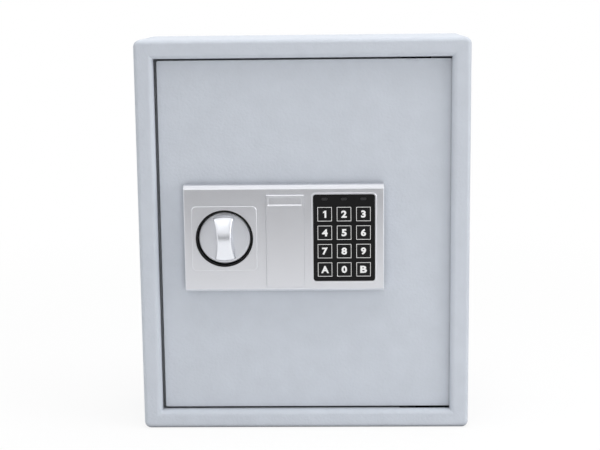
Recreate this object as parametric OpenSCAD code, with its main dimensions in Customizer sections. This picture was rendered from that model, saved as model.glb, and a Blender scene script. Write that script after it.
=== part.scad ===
// In-room safe: a shallow steel cabinet with a right-hung door. The door carries a moulded fascia
// with a turn knob, a key-lock cover and a keypad, and a two-bolt lock under a cover on its back.
// Millimetres, +Z up, the door faces -Y. Depths are measured from the front plane into the safe.

/* [Body] */
// Width of the body
body_w = 300; // [285:1:340]
// Height of the body
body_h = 358; // [330:1:420]
// Depth of the body behind its front plane
body_d = 105; // [98:1:180]
// Thickness of the body sheet
sheet = 2; // [1.5:0.1:2.5]
// Outer radius of the four long edges
edge_r = 6; // [2.2:0.1:7]
// Corner radius of the front frame
corner_r = 6; // [4:0.5:9]
// Radius of the front outer edge
front_r = 4; // [2:0.5:5]
// Width of the front frame round the doorway
frame_w = 17; // [15:0.5:21]
// Radius of the fold from the frame into the doorway
fold_r = 5.5; // [2:0.1:7]
// Depth of the front frame's outer skirt
skirt_d = 17; // [16:0.5:20]
// Width of the door stop behind the door
stop_w = 7; // [5:0.5:9]
// Length of the cut in the lips at the hinge side
hinge_notch = 46; // [42:1:56]
// Diameter of the wall fixing holes
wall_hole_d = 10; // [8:0.5:14]
// Distance between the wall fixing holes across the back
wall_hole_dx = 200; // [150:5:230]
// Distance between the wall fixing holes up the back
wall_hole_dz = 250; // [180:5:290]
// Thickness of the floor mat
mat_t = 1.6; // [1:0.1:3]
// Distance of the floor mat's front edge from the front plane
mat_front = 34; // [32:1:50]

/* [Door] */
// Thickness of the door plate
door_t = 4; // [3:0.5:6]
// Depth of the door's face behind the front plane
recess = 8; // [4:0.5:10]
// Gap between the door and the lip at the top and bottom
door_gap = 1.8; // [1.5:0.1:3]
// Gap between the door and the lip on the closing edge
side_gap = 2.7; // [1.5:0.1:3]
// How far the door tucks behind the frame on the hinge side
tuck = 6; // [4:0.5:8]
// Gap between the door's face and the short lip on the hinge side
tuck_gap = 0.7; // [0.5:0.1:1]
// Gap between the door's back and the stop
stop_gap = 1; // [0.6:0.1:2]
// Radius of the door plate's corners
door_corner_r = 1.5; // [0.5:0.5:3]

/* [Hinge] */
// Distance of the hinge axis from the doorway's hinge-side edge
hinge_inset = 24; // [21:1:27]
// Distance of the hinge axis behind the door's back
hinge_back = 7; // [6.5:0.5:9]
// Diameter of the hinge pins
hinge_pin_d = 8; // [6:0.5:9]
// Outer radius of the hinge lugs
lug_r = 7; // [6:0.5:8]
// Length of the hinge lugs
lug_l = 28; // [20:1:40]
// Distance from the door's end to a lug
lug_in = 3; // [2:0.5:6]
// Distance from the doorway's edge to the hinge bracket
bracket_drop = 6; // [5:0.5:7]
// Thickness of the hinge brackets
bracket_t = 3; // [2:0.5:4]
// How far a pin stands out of its bracket
pin_out = 2; // [1:0.5:3]
// Running clearance of pins and shafts, on the radius
run_clear = 0.05; // [0.02:0.01:0.08]
// End play of the hinge bushes
bush_play = 0.2; // [0.1:0.05:0.3]

/* [Fascia] */
// Width of the fascia
fascia_w = 180.5; // [165:0.5:190]
// Height of the fascia
fascia_h = 97; // [95:0.5:105]
// How far the fascia stands on the door's face
fascia_t = 12; // [11:0.5:15]
// Wall of the fascia moulding
fascia_wall = 2.4; // [2:0.1:2.8]
// Distance from the door's closing edge to the fascia
fascia_in = 22.2; // [22:0.1:28]
// Height of the fascia's centre over the middle of the body
fascia_rise = 0.4; // [-10:0.1:15]
// Bevel of the fascia's top front edge
fascia_top_bevel = 3.3; // [2:0.1:3.6]
// Bevel of the fascia's bottom front edge
fascia_low_bevel = 2.2; // [1:0.1:2.4]
// Radius of the fascia's side front edges
fascia_side_r = 1; // [0.5:0.1:2]
// Diameter of the screws that hold the fascia
fascia_screw_d = 3; // [2.5:0.1:3.5]
// How far the raised panel round the knob stands on the fascia
pad_t = 0.8; // [0.5:0.1:1.2]
// Width of the raised panel round the knob
pad_w = 58.5; // [56:0.5:62]
// Height of the raised panel round the knob
pad_h = 58.5; // [56:0.5:60]
// Corner radius of the raised panel
pad_r = 4; // [2:0.5:6]

/* [Knob] */
// Shift of the knob to the left of an even spacing across the fascia
knob_shift = 0.9; // [0:0.1:1.5]
// Drop of the knob's axis below the fascia's centre
knob_drop = -0.4; // [-2:0.1:3]
// Outer radius of the black ring round the knob
ring_r = 25.8; // [25.5:0.1:27]
// Wall of the black ring
ring_wall = 1.4; // [1.2:0.1:2]
// How far the ring stands proud of the raised panel
ring_proud = 0.2; // [0.1:0.05:0.5]
// Gap between the knob's disc and the ring
knob_gap = 0.9; // [0.8:0.1:1.8]
// Depth of the knob's disc behind the front of the ring
knob_sink = 4.2; // [3.5:0.1:4.5]
// Thickness of the knob's disc
disc_t = 3.4; // [3:0.1:4]
// Radius of the knob's hub
hub_r = 7.5; // [7:0.1:8]
// Length of the grip bar
grip_l = 39; // [34:0.5:42]
// Width of the grip at its ends
grip_end_w = 17.5; // [15:0.1:19]
// Width of the grip at its waist
grip_waist_w = 12.6; // [12:0.1:14]
// Height of the grip's crest over the disc
grip_h = 10.5; // [9:0.1:14]
// Slope of the grip's crest from its middle to its ends, in degrees
grip_slope = 13; // [6:0.5:18]
// Radius of the ridge across the middle of the grip's crest
ridge_r = 8; // [4:0.5:14]
// Diameter of the knob's spindle
spindle_d = 10; // [8:0.5:10.5]

/* [Keypad] */
// Width of the keypad
keypad_w = 55.5; // [52.5:0.1:56]
// Height of the keypad
keypad_h = 79.2; // [76:0.1:80]
// Corner radius of the keypad
keypad_r = 2.4; // [1:0.1:3]
// Shift of the keypad to the left of an even spacing across the fascia
keypad_shift = 0.2; // [0:0.05:1.5]
// Drop of the keypad's centre below the fascia's centre
keypad_drop = -0.4; // [-1:0.1:1]
// Distance between key columns
key_dx = 17.4; // [16.6:0.1:17.8]
// Distance between key rows
key_dz = 16.9; // [16.2:0.1:17.2]
// Side of a key cap
key_w = 13.3; // [12:0.1:13.6]
// Gap round a key cap
key_gap = 0.3; // [0.2:0.05:0.5]
// Drop of the key field's centre below the keypad's centre
keys_drop = 3.6; // [3:0.1:4.5]
// How far a key stands proud of the keypad
key_proud = 0.5; // [0.2:0.1:1]
// Travel of a key
key_travel = 0.8; // [0.4:0.1:0.9]
// Distance of the indicator windows from the keypad's top edge
led_in = 4.3; // [3.5:0.1:4.5]
// Width of an indicator window
led_w = 5.2; // [4:0.1:6]
// Height of an indicator window
led_h = 2.2; // [2:0.1:3]

/* [Key lock] */
// Width of the cover over the key lock
lid_w = 34.2; // [33:0.1:36]
// Height of the cover over the key lock
lid_h = 85; // [82:0.5:87]
// Thickness of the cover over the key lock
lid_t = 2; // [1.8:0.1:2.4]
// Shift of the key lock to the left of an even spacing across the fascia
lock_shift = 0.4; // [0:0.1:1.5]
// Drop of the cover's centre below the fascia's centre
lid_drop = 2.1; // [1:0.1:3.5]
// Radius of the lock's barrel
barrel_r = 9; // [8:0.1:10]
// Radius of the lock's turning plug
plug_r = 6; // [5:0.1:6.5]
// Diameter of the tail pin
tail_pin_d = 3; // [2.6:0.1:3.2]

/* [Bolt work] */
// Diameter of the locking bolts
bolt_d = 14; // [12:0.5:15]
// Length of the locking bolts
bolt_l = 38; // [36:0.5:39]
// Distance of each bolt from the knob's axis
bolt_dz = 35; // [33:0.5:38]
// Travel of the bolts
bolt_throw = 12; // [10:0.5:12.5]
// Gap between the drawn bolts and the doorway's stop
tip_gap = 1.5; // [1:0.1:2]
// Thickness of the bolt carriage
carriage_t = 2.5; // [2:0.1:3]
// Diameter of the crank's drive pin
drive_pin_d = 6; // [5:0.5:6.5]
// Side clearance of the drive pin in its slot
slot_clear = 0.45; // [0.35:0.05:0.6]
// Diameter of the carriage's guide studs
stud_d = 7; // [6:0.5:8]
// Pull of the solenoid's plunger
plunger_travel = 5; // [4.7:0.1:5.2]
// Diameter of the solenoid's plunger
plunger_d = 8; // [6:0.5:8.5]
// Wire of the plunger's spring
spring_wire = 0.8; // [0.6:0.1:0.9]
// Turns of the plunger's spring
spring_turns = 5; // [4:1:6]

/* [Inner cover] */
// Thickness of the inner cover's sheet
cover_t = 1.2; // [1:0.1:1.5]
// Corner radius of the inner cover
cover_r = 4; // [3:0.5:6]
// Distance from the door's closing edge to the inner cover
cover_in = 11; // [10:0.5:12]
// Reach of the inner cover past the fascia's right side
cover_over = 13.3; // [12:0.1:16]
// Reach of the inner cover below the knob's axis
cover_down = 96; // [92:1:110]
// Reach of the inner cover above the knob's axis
cover_up = 72; // [70:1:90]
// Room between the carriage and the inner cover
cover_room = 6.2; // [5.6:0.1:8]
// Width of the battery tray
tray_w = 64; // [63.4:0.1:66]
// Height of the battery tray
tray_h = 60; // [56:0.5:64]
// Depth of the battery tray
tray_d = 20; // [19.5:0.5:21]
// Diameter of a battery
cell_d = 14.2; // [13.5:0.1:14.5]
// Length of a battery
cell_l = 50; // [48:0.5:50.5]
// Diameter of the reset button
reset_d = 7; // [5:0.5:8]
// Travel of the reset button
reset_travel = 1.2; // [0.6:0.1:1.5]

/* [Hidden] */
$fn = 64;

// Keys from the top left, row by row
key_names = ["1", "2", "3", "4", "5", "6", "7", "8", "9", "a", "0", "b"];
key_columns = 3;
key_rows = 4;

// Colours
paint = [0.74, 0.77, 0.81];
silver = [0.76, 0.77, 0.79];
black = [0.12, 0.12, 0.13];
steel = [0.66, 0.67, 0.69];
zinc = [0.74, 0.73, 0.68];
brass = [0.74, 0.60, 0.30];
board_green = [0.10, 0.36, 0.22];

// Allowances: cut is how far a cutter runs past a face, lap is how far joined sheets overlap,
// seat is the slack of a fixed piece
cut = 1;
lap = 1;
seat = 0.1;

// Doorway and door
open_l = frame_w - body_w / 2;
open_r = body_w / 2 - frame_w;
open_b = frame_w;
open_t = body_h - frame_w;
notch_x = open_r - hinge_notch;
door_back = recess + door_t;
lip_d = door_back + stop_gap + sheet;
short_lip = recess - tuck_gap;
lip_land = 0.2;
face_land = 2;
face_d = front_r + face_land;
fold = min(fold_r, short_lip - lip_land);
door_l = open_l + side_gap;
door_r = open_r + tuck;
door_b = open_b + door_gap;
door_top = open_t - door_gap;

// Hinge
hinge_x = open_r - hinge_inset;
hinge_d = door_back + hinge_back;
hinge_pin_r = hinge_pin_d / 2;
bracket_z = open_b - bracket_drop;
lug_z = door_b + lug_in;
bracket_end_gap = 2;
bracket_land = 6;
bush_step = 0.5;
mat_gap = 0.5;

// Fascia, from front to back
fascia_front = recess - fascia_t;
fascia_in_d = fascia_front + fascia_wall;
fascia_l = door_l + fascia_in;
fascia_r = fascia_l + fascia_w;
fascia_z = body_h / 2 + fascia_rise;
fascia_gap = (fascia_w - pad_w - lid_w - keypad_w) / 4;
keypad_z = fascia_z - keypad_drop;
panel_flange_w = 1.3;
boss_r = 2.7;
boss_in_l = 20;
boss_in_r = 4.5;
boss_gap = 0.6;
boss_dz = keypad_h / 2 + panel_flange_w + boss_gap + boss_r;
boss_places = [for (x = [fascia_l + boss_in_l, fascia_r - boss_in_r])
    for (side = [-1, 1]) [x, keypad_z + side * boss_dz]];
screw_head_r = fascia_screw_d;
screw_head_t = 2;
screw_grip = 7;

// Knob, from front to back
knob_x = fascia_l + fascia_gap + pad_w / 2 - knob_shift;
knob_z = fascia_z - knob_drop;
ring_front = fascia_front - pad_t - ring_proud;
ring_floor_t = 1.5;
ring_floor_gap = 0.7;
disc_r = ring_r - ring_wall - knob_gap;
disc_front = ring_front + knob_sink;
disc_back = disc_front + disc_t;
grip_front = disc_front - grip_h;
grip_end_rise = 1.6;
hub_gap = 0.5;
hub_back = recess - hub_gap;
spindle_r = spindle_d / 2;
bush_wall = 1.4;
bush_flange_w = 3;
bush_flange_t = 1.5;
spindle_cap = 5;
spindle_front = grip_front + spindle_cap;

// The grip and the back of the body are equally far from the origin
front_y = -(grip_front + body_d) / 2;

// Keypad, from front to back
keypad_x = fascia_r - fascia_gap - keypad_w / 2 - keypad_shift;
rim_w = 1.3;
rim_h = 0.7;
panel_proud = 0.1;
panel_front = fascia_front - panel_proud;
panel_t = 2;
key_flange_w = 0.8;
key_flange_t = 0.8;
key_stop_gap = 0.2;
panel_back = panel_front + panel_t + seat + key_flange_t + key_travel + key_stop_gap;
panel_wall = 1.2;
key_front = panel_front - key_proud;
key_r = 1;
board_t = 1.6;
board_d = panel_back + board_t;
keys_z = keypad_z - keys_drop;
led_z = keypad_z + keypad_h / 2 - led_in;
cable_w = 12;
cable_t = 1;
cable_rise = 30;
cable_z = keypad_z + cable_rise;
cable_room = 2;
cable_slot_r = 1;

// Bolt work, from front to back
bolt_r = bolt_d / 2;
bolt_gap = 1.5;
bolt_depth = lip_d + bolt_gap + bolt_r;
tip_x = open_l + stop_w + tip_gap;
tail_x = tip_x + bolt_l;
guide_gap = 6.6;
guide_x = door_l + cover_in + cover_t + guide_gap;
guide_t = 3;
guide_foot_w = 18;
guide_margin = 6;
guide_over = 3;
bolt_lift = 0.6;
carriage_d = bolt_depth + bolt_r + bolt_lift;
carriage_back = carriage_d + carriage_t;
carriage_margin = 3;
carriage_half_z = bolt_dz + bolt_r + carriage_margin;
carriage_reach = 34;
carriage_r = knob_x + carriage_reach;
crank_t = 4;
crank_gap = 1.5;
crank_front = carriage_d - crank_gap - crank_t;
crank_r = bolt_throw / sqrt(2);
crank_margin = 0.6;
crank_plate_r = crank_r + drive_pin_d / 2 + crank_margin;
drive_pin_out = 1.4;
stud_in = 14;
stud_x = knob_x + stud_in;
stud_rise = 2;
stud_dz = bolt_dz + stud_rise;
stud_head_w = 2.5;
stud_head_t = 1.8;
stud_gap = 0.3;
bolt_screw_r = 3;
bolt_screw_head_r = 5.5;
bolt_screw_head_t = 3;
bolt_screw_l = 12;
bolt_nose = 1.5;

// Key lock, from front to back
lock_x = fascia_l + 2 * fascia_gap + pad_w + lid_w / 2 - lock_shift;
lid_z = fascia_z - lid_drop;
lock_z = lid_z;
lid_sink = 1.4;
lid_front = fascia_front + lid_sink - seat - lid_t;
lid_corner_r = 1;
lid_groove_w = 30;
lid_groove_h = 7.6;
lid_groove_t = 1;
lid_groove_in = 2.7;
lid_bevel = 1.2;
lid_peg_r = 1.5;
lid_peg_l = 3;
lid_peg_dx = 13;
lid_peg_dz = 34;
lock_sink = 2;
lock_front = fascia_in_d + lock_sink;
keyhole_room = 2;
lock_flange_w = 3.5;
lock_flange_t = 2;
tail_t = 2.5;
tail_gap = 0.5;
flag_t = 1.6;
lock_back = carriage_d - tail_gap - flag_t - tail_gap - tail_t;
nut_t = 4;
nut_w = 4;
keyway = [1.4, 7];
tail_angle = 45;
tail_disc_over = 1.5;
tail_disc_r = plug_r + tail_disc_over;

// Solenoid under the lock: its plunger stops the carriage's tail, the lock's tail pin draws it
plunger_r = plunger_d / 2;
tail_r = plunger_travel / (2 * sin(tail_angle));
plunger_off = 3.2;
plunger_x = lock_x - plunger_off;
plunger_lap = 2.4;
plunger_depth = carriage_d + plunger_lap - plunger_r;
tail_past = 1;
tail_end = plunger_x + plunger_r + tail_past;
tail_drop = 4;
tail_low = lock_z - barrel_r - tail_drop;
tail_h = 7;
plunger_gap = 0.3;
plunger_tip = tail_low - plunger_gap;
collar_t = 2;
collar_w = 2;
collar_drop = 7;
collar_low = plunger_tip - collar_drop;
spring_room = 14;
coil_top = collar_low - spring_room;
coil_h = 32;
rod_room = 2;
frame_t = 1.5;
frame_half_w = 10;
coil_r = 8.6;
coil_low = coil_top - coil_h;
flag_w = 4.5;
pin_gap = 0.3;
flag_x = lock_x + tail_r - flag_w / 2 - pin_gap;
flag_top = lock_z + tail_r * sin(tail_angle) - tail_pin_d / 2 - pin_gap;
flag_d = lock_back + tail_t + tail_gap;

// Inner cover and what it holds
cover_l = door_l + cover_in;
cover_rt = fascia_r + cover_over;
cover_b = knob_z - cover_down;
cover_top = knob_z + cover_up;
cover_inner = carriage_back + cover_room;
cover_back = cover_inner + cover_t;
post_r = 4;
post_in = 11;
post_bore = 10;
cover_screw_d = 4;
cover_screw_grip = 8;
cover_places = [for (x = [cover_l + post_in, cover_rt - post_in])
    for (z = [cover_b + post_in, cover_top - post_in]) [x, z]];
bolt_hole_gap = 0.8;
tray_x = (lock_x + tail_disc_r + cover_rt - cover_t) / 2;
tray_drop = 24;
tray_z = knob_z - tray_drop;
tray_wall = 1.5;
tray_lip_w = 3;
tray_lip_t = 1.2;
tray_back = cover_back + tray_lip_t;
tray_front = tray_back - tray_d;
cells = 4;
cell_gap = 0.6;
nub_r = 2.6;
nub_h = 1.4;
lid_plate_t = 1.6;
lid_rib_dz = 3;
pcb_w = 60;
pcb_h = 38;
pcb_shift = 2.7;
pcb_x = keypad_x - pcb_shift;
pcb_rise = 43;
pcb_z = knob_z + pcb_rise;
pcb_post_l = 5;
pcb_front = door_back + pcb_post_l;
pcb_post_r = 2.6;
pcb_post_in = 4;
reset_dx = 6;
reset_dz = 4;
reset_x = pcb_x - reset_dx;
reset_z = pcb_z + reset_dz;
reset_r = reset_d / 2;
reset_out = 2.4;
reset_flange_w = 1.2;
reset_flange_t = 1;
reset_stem_r = 1.6;
switch_w = 6;
switch_h = 3.5;
switch_top = pcb_front + board_t + switch_h;
chip_w = 12;
chip_t = 2.2;
chip_dx = 12;
header_w = 12;
header_h = 6;
header_t = 7;
header_dx = 18;
header_dz = 11;
capacitor_r = 4;
capacitor_h = 11;
capacitor_dx = 20;
capacitor_dz = 12;

// Drawing helpers: an outline in X and Z, drawn between two depths
module slab(from, to) {
    translate([0, front_y + to, 0]) rotate([90, 0, 0]) linear_extrude(to - from) children();
}

// An outline in depth and Z, drawn between two places along X
module along_x(from, to) {
    translate([from, front_y, 0]) rotate([90, 0, 90]) linear_extrude(to - from) children();
}

// An outline in X and depth, drawn between two heights
module along_z(from, to) {
    translate([0, front_y, from]) linear_extrude(to - from) children();
}

// A round bar across the door, at a place in depth and Z
module bar_x(from, to, depth, z, r) {
    along_x(from, to) translate([depth, z]) circle(r);
}

module pin_y(from, to, x, z, r) {
    slab(from, to) translate([x, z]) circle(r);
}

// Rectangle between two corners
module box2(low, high) {
    translate(low) square(high - low);
}

// Rounded rectangle about a centre
module round_rect(centre, size, r) {
    translate(centre) {
        square([size[0], size[1] - 2 * r], center = true);
        square([size[0] - 2 * r, size[1]], center = true);
        for (sx = [-1, 1]) for (sz = [-1, 1])
            translate([sx * (size[0] / 2 - r), sz * (size[1] / 2 - r)]) circle(r);
    }
}

// Slot with round ends along X, between two centres
module slot_x(x0, x1, z, r) {
    box2([x0, z - r], [x1, z + r]);
    for (x = [x0, x1]) translate([x, z]) circle(r);
}

// Outline of the body or, with the front frame's corner radius, of the frame
module body_outline(inset, r = edge_r) {
    round_rect([0, body_h / 2], [body_w - 2 * inset, body_h - 2 * inset], r - inset);
}

module doorway(grow) {
    box2([open_l - grow, open_b - grow], [open_r + grow, open_t + grow]);
}

module left_of(x) {
    box2([-body_w, 0], [x, body_h]);
}

// What is below the body's middle, mirrored to the top
module at_top() {
    translate([0, 0, body_h]) mirror([0, 0, 1]) children();
}

// Front frame
// Half of the front edge's section: a bar whose front outer corner is rounded
module edge_section(reach) {
    box2([0, front_r], [reach, face_d]);
    box2([0, 0], [reach - front_r, face_d]);
    intersection() {
        translate([reach - front_r, front_r]) circle(front_r);
        box2([0, 0], [reach, face_d]);
    }
}

module frame_block() {
    half = body_w / 2;
    along_z(corner_r, body_h - corner_r) for (m = [0, 1]) mirror([m, 0]) edge_section(half);
    along_x(corner_r - half, half - corner_r) translate([0, body_h / 2]) for (m = [0, 1])
        mirror([0, m]) rotate(90) mirror([0, 1]) edge_section(body_h / 2);
    for (sx = [-1, 1]) for (sz = [-1, 1])
        translate([sx * (half - corner_r), front_y, body_h / 2 + sz * (body_h / 2 - corner_r)])
            rotate([-90, 0, 0]) rotate_extrude() edge_section(corner_r);
}

// The fold, a lap on the frame's face and the short lip: out from the doorway's edge, and in depth
module fold_section() {
    intersection() {
        translate([fold, fold]) difference() {
            circle(fold);
            circle(fold - sheet);
        }
        square(fold);
    }
    box2([fold, 0], [fold + lap, sheet]);
    box2([0, fold], [sheet, short_lip]);
}

// The four folds run past the doorway's corners, where they meet in mitres
module doorway_fold() {
    past = fold + lap;
    along_z(open_b - past, open_t + past) {
        translate([open_r, 0]) fold_section();
        translate([open_l, 0]) mirror([1, 0]) fold_section();
    }
    along_x(open_l - past, open_r + past) {
        translate([0, open_t]) rotate(90) mirror([0, 1]) fold_section();
        translate([0, open_b]) rotate(-90) fold_section();
    }
}

// Deep lip and door stop, as far as the hinge notch
module frame_lips() {
    slab(fold, lip_d) intersection() {
        difference() {
            doorway(sheet);
            doorway(0);
        }
        left_of(notch_x);
    }
    slab(lip_d - sheet, lip_d) intersection() {
        difference() {
            doorway(sheet);
            box2([open_l + stop_w, open_b + stop_w], [body_w, open_t - stop_w]);
        }
        left_of(notch_x);
    }
}

module front_frame() {
    color(paint) {
        difference() {
            union() {
                frame_block();
                slab(face_d, skirt_d) body_outline(0);
            }
            slab(sheet, face_d) body_outline(sheet, corner_r);
            slab(face_d, skirt_d + cut) body_outline(sheet);
            slab(-cut, skirt_d) doorway(fold);
        }
        doorway_fold();
        frame_lips();
    }
}

// Cabinet
module body_wrap() {
    color(paint) slab(skirt_d, body_d) difference() {
        body_outline(0);
        body_outline(sheet);
    }
}

module back_panel() {
    color(paint) slab(body_d - sheet, body_d) difference() {
        body_outline(sheet + seat);
        for (sx = [-1, 1]) for (sz = [-1, 1])
            translate([sx * wall_hole_dx / 2, body_h / 2 + sz * wall_hole_dz / 2])
                circle(d = wall_hole_d);
    }
}

// Angle plate under the doorway's edge, with the hinge bore and a leg down to the body's floor
module hinge_bracket() {
    leg_d = hinge_d + hinge_pin_r + bracket_land;
    x0 = notch_x + bracket_end_gap;
    x1 = open_r - bracket_end_gap;
    difference() {
        union() {
            along_x(x0, x1) {
                box2([sheet, bracket_z - bracket_t], [leg_d, bracket_z]);
                box2([leg_d - bracket_t, sheet], [leg_d, bracket_z]);
            }
        }
        along_z(0, bracket_z + cut) translate([hinge_x, hinge_d]) circle(hinge_pin_r + run_clear);
    }
}

module hinge_bracket_lower() {
    color(steel) hinge_bracket();
}

module hinge_bracket_upper() {
    color(steel) at_top() hinge_bracket();
}

module floor_mat() {
    half = body_w / 2 - corner_r;
    color([0.24, 0.25, 0.27]) along_z(sheet, sheet + mat_t)
        box2([-half, mat_front], [half, body_d - sheet - mat_gap]);
}

// Door and hinge
module door_plate() {
    color(paint) {
        difference() {
            slab(recess, door_back) round_rect([(door_l + door_r) / 2, (door_b + door_top) / 2],
                [door_r - door_l, door_top - door_b], door_corner_r);
            pin_y(0, door_back + cut, knob_x, knob_z, spindle_r + run_clear + bush_wall);
            pin_y(0, door_back + cut, lock_x, lock_z, barrel_r + seat);
            slab(0, door_back + cut) round_rect([keypad_x, cable_z],
                [cable_w + 2 * cable_room, cable_t + 2 * cable_room], cable_slot_r);
            for (p = boss_places) pin_y(0, door_back + cut, p[0], p[1], fascia_screw_d / 2 + seat);
        }
        for (sx = [-1, 1]) for (sz = [-1, 1])
            pin_y(door_back, pcb_front, pcb_x + sx * (pcb_w / 2 - pcb_post_in),
                pcb_z + sz * (pcb_h / 2 - pcb_post_in), pcb_post_r);
    }
}

module hinge_lug() {
    difference() {
        along_z(lug_z, lug_z + lug_l) {
            box2([hinge_x - lug_r, door_back], [hinge_x + lug_r, hinge_d]);
            translate([hinge_x, hinge_d]) circle(lug_r);
        }
        along_z(lug_z - cut, lug_z + lug_l + cut) translate([hinge_x, hinge_d])
            circle(hinge_pin_r + run_clear);
    }
}

module hinge_lugs() {
    color(paint) {
        hinge_lug();
        at_top() hinge_lug();
    }
}

module hinge_pin() {
    along_z(bracket_z - bracket_t - pin_out, lug_z + lug_l - pin_out)
        translate([hinge_x, hinge_d]) circle(hinge_pin_r);
}

module hinge_pin_lower() {
    color(steel) hinge_pin();
}

module hinge_pin_upper() {
    color(steel) at_top() hinge_pin();
}

// The bush keeps the lug off the bracket and carries the door
module hinge_bush() {
    along_z(bracket_z + bush_play, lug_z) translate([hinge_x, hinge_d]) difference() {
        circle(lug_r - bush_step);
        circle(hinge_pin_r + run_clear);
    }
}

module hinge_bushes() {
    color(black) {
        hinge_bush();
        at_top() hinge_bush();
    }
}

// Fascia
// Section across the fascia in depth and Z, with bevelled top and bottom front edges
module fascia_section() {
    low = fascia_z - fascia_h / 2;
    high = fascia_z + fascia_h / 2;
    polygon([[recess, low], [recess, high], [fascia_front + fascia_top_bevel, high],
        [fascia_front, high - fascia_top_bevel], [fascia_front, low + fascia_low_bevel],
        [fascia_front + fascia_low_bevel, low]]);
}

// Section across the fascia in X and depth, with round side edges
module fascia_plan() {
    box2([fascia_l, fascia_front + fascia_side_r], [fascia_r, recess]);
    box2([fascia_l + fascia_side_r, fascia_front], [fascia_r - fascia_side_r, recess]);
    for (x = [fascia_l + fascia_side_r, fascia_r - fascia_side_r])
        translate([x, fascia_front + fascia_side_r]) circle(fascia_side_r);
}

module fascia_shell() {
    difference() {
        intersection() {
            along_x(fascia_l, fascia_r) fascia_section();
            along_z(fascia_z - fascia_h / 2, fascia_z + fascia_h / 2) fascia_plan();
        }
        slab(fascia_in_d, recess + cut)
            box2([fascia_l + fascia_wall, fascia_z - fascia_h / 2 + fascia_wall],
                [fascia_r - fascia_wall, fascia_z + fascia_h / 2 - fascia_wall]);
    }
}

module keypad_hole(grow) {
    round_rect([keypad_x, keypad_z], [keypad_w + 2 * grow, keypad_h + 2 * grow], keypad_r + grow);
}

module fascia() {
    color(silver) difference() {
        union() {
            fascia_shell();
            slab(fascia_front - pad_t, fascia_in_d) round_rect([knob_x, knob_z], [pad_w, pad_h], pad_r);
            slab(fascia_front - rim_h, fascia_in_d) keypad_hole(seat + rim_w);
            for (p = boss_places) pin_y(fascia_in_d - seat, recess, p[0], p[1], boss_r);
        }
        pin_y(ring_front - cut, recess, knob_x, knob_z, ring_r + seat);
        slab(fascia_front - rim_h - cut, fascia_in_d + cut) keypad_hole(seat);
        slab(fascia_front - cut, fascia_front + lid_sink)
            round_rect([lock_x, lid_z], [lid_w + 2 * seat, lid_h + 2 * seat], lid_corner_r + seat);
        pin_y(fascia_front, fascia_in_d + cut, lock_x, lock_z, plug_r + keyhole_room);
        for (sx = [-1, 1]) for (sz = [-1, 1])
            pin_y(fascia_front, fascia_in_d + cut, lock_x + sx * lid_peg_dx,
                lid_z + sz * lid_peg_dz, lid_peg_r + 2 * seat);
        for (p = boss_places)
            pin_y(door_back - door_t - screw_grip, recess + cut, p[0], p[1], fascia_screw_d / 2 + run_clear);
    }
}

module fascia_screws() {
    color(zinc) for (p = boss_places) {
        pin_y(recess - screw_grip + cut, door_back + cut, p[0], p[1], fascia_screw_d / 2);
        pin_y(door_back, door_back + screw_head_t, p[0], p[1], screw_head_r);
    }
}

// Knob
module knob_ring() {
    color(black) difference() {
        pin_y(ring_front, recess, knob_x, knob_z, ring_r);
        pin_y(ring_front - cut, disc_back + ring_floor_gap, knob_x, knob_z, ring_r - ring_wall);
        pin_y(disc_back + ring_floor_gap + ring_floor_t, recess + cut, knob_x, knob_z, ring_r - ring_wall);
        pin_y(ring_front, recess, knob_x, knob_z, hub_r + hub_gap);
    }
}

// Radius of an arc from its half chord and its rise
function arc_r(half, rise) = (half * half + rise * rise) / (2 * rise);

// Bow-tie outline of the grip, trimmed to the disc
module grip_outline() {
    waist = (grip_end_w - grip_waist_w) / 2;
    side_r = arc_r(grip_l / 2, waist);
    end_r = arc_r(grip_end_w / 2, grip_end_rise);
    intersection() {
        difference() {
            square([grip_end_w, grip_l], center = true);
            for (sx = [-1, 1]) translate([sx * (grip_waist_w / 2 + side_r), 0])
                circle(side_r, $fn = 360);
        }
        translate([0, end_r - grip_l / 2]) circle(end_r);
        translate([0, grip_l / 2 - end_r]) circle(end_r);
    }
}

// Section of the grip in depth and Z: two slopes that meet in a round ridge
module grip_crown() {
    half = grip_l / 2;
    foot = disc_front + cut;
    turn_d = grip_front + ridge_r * (1 - cos(grip_slope));
    turn_z = ridge_r * sin(grip_slope);
    end_d = turn_d + (half - turn_z) * tan(grip_slope);
    translate([0, knob_z]) {
        polygon([[turn_d, -turn_z], [end_d, -half], [foot, -half], [foot, half], [end_d, half],
            [turn_d, turn_z]]);
        intersection() {
            translate([grip_front + ridge_r, 0]) circle(ridge_r);
            box2([grip_front, -turn_z], [foot, turn_z]);
        }
    }
}

module knob() {
    color([0.84, 0.85, 0.86]) difference() {
        union() {
            pin_y(disc_front, disc_back, knob_x, knob_z, disc_r);
            pin_y(disc_front, hub_back, knob_x, knob_z, hub_r);
            intersection() {
                slab(grip_front - cut, disc_front + cut) translate([knob_x, knob_z]) grip_outline();
                along_x(knob_x - grip_end_w, knob_x + grip_end_w) grip_crown();
            }
        }
        pin_y(spindle_front - seat, hub_back + cut, knob_x, knob_z, spindle_r + run_clear);
    }
}

module knob_spindle() {
    color(steel) pin_y(spindle_front, crank_front + crank_t, knob_x, knob_z, spindle_r);
}

module spindle_bush() {
    color([0.9, 0.9, 0.86]) difference() {
        union() {
            pin_y(recess, door_back, knob_x, knob_z, spindle_r + bush_wall);
            pin_y(door_back, door_back + bush_flange_t, knob_x, knob_z,
                spindle_r + bush_wall + bush_flange_w);
        }
        pin_y(0, door_back + bush_flange_t + cut, knob_x, knob_z, spindle_r + run_clear);
    }
}

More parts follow.
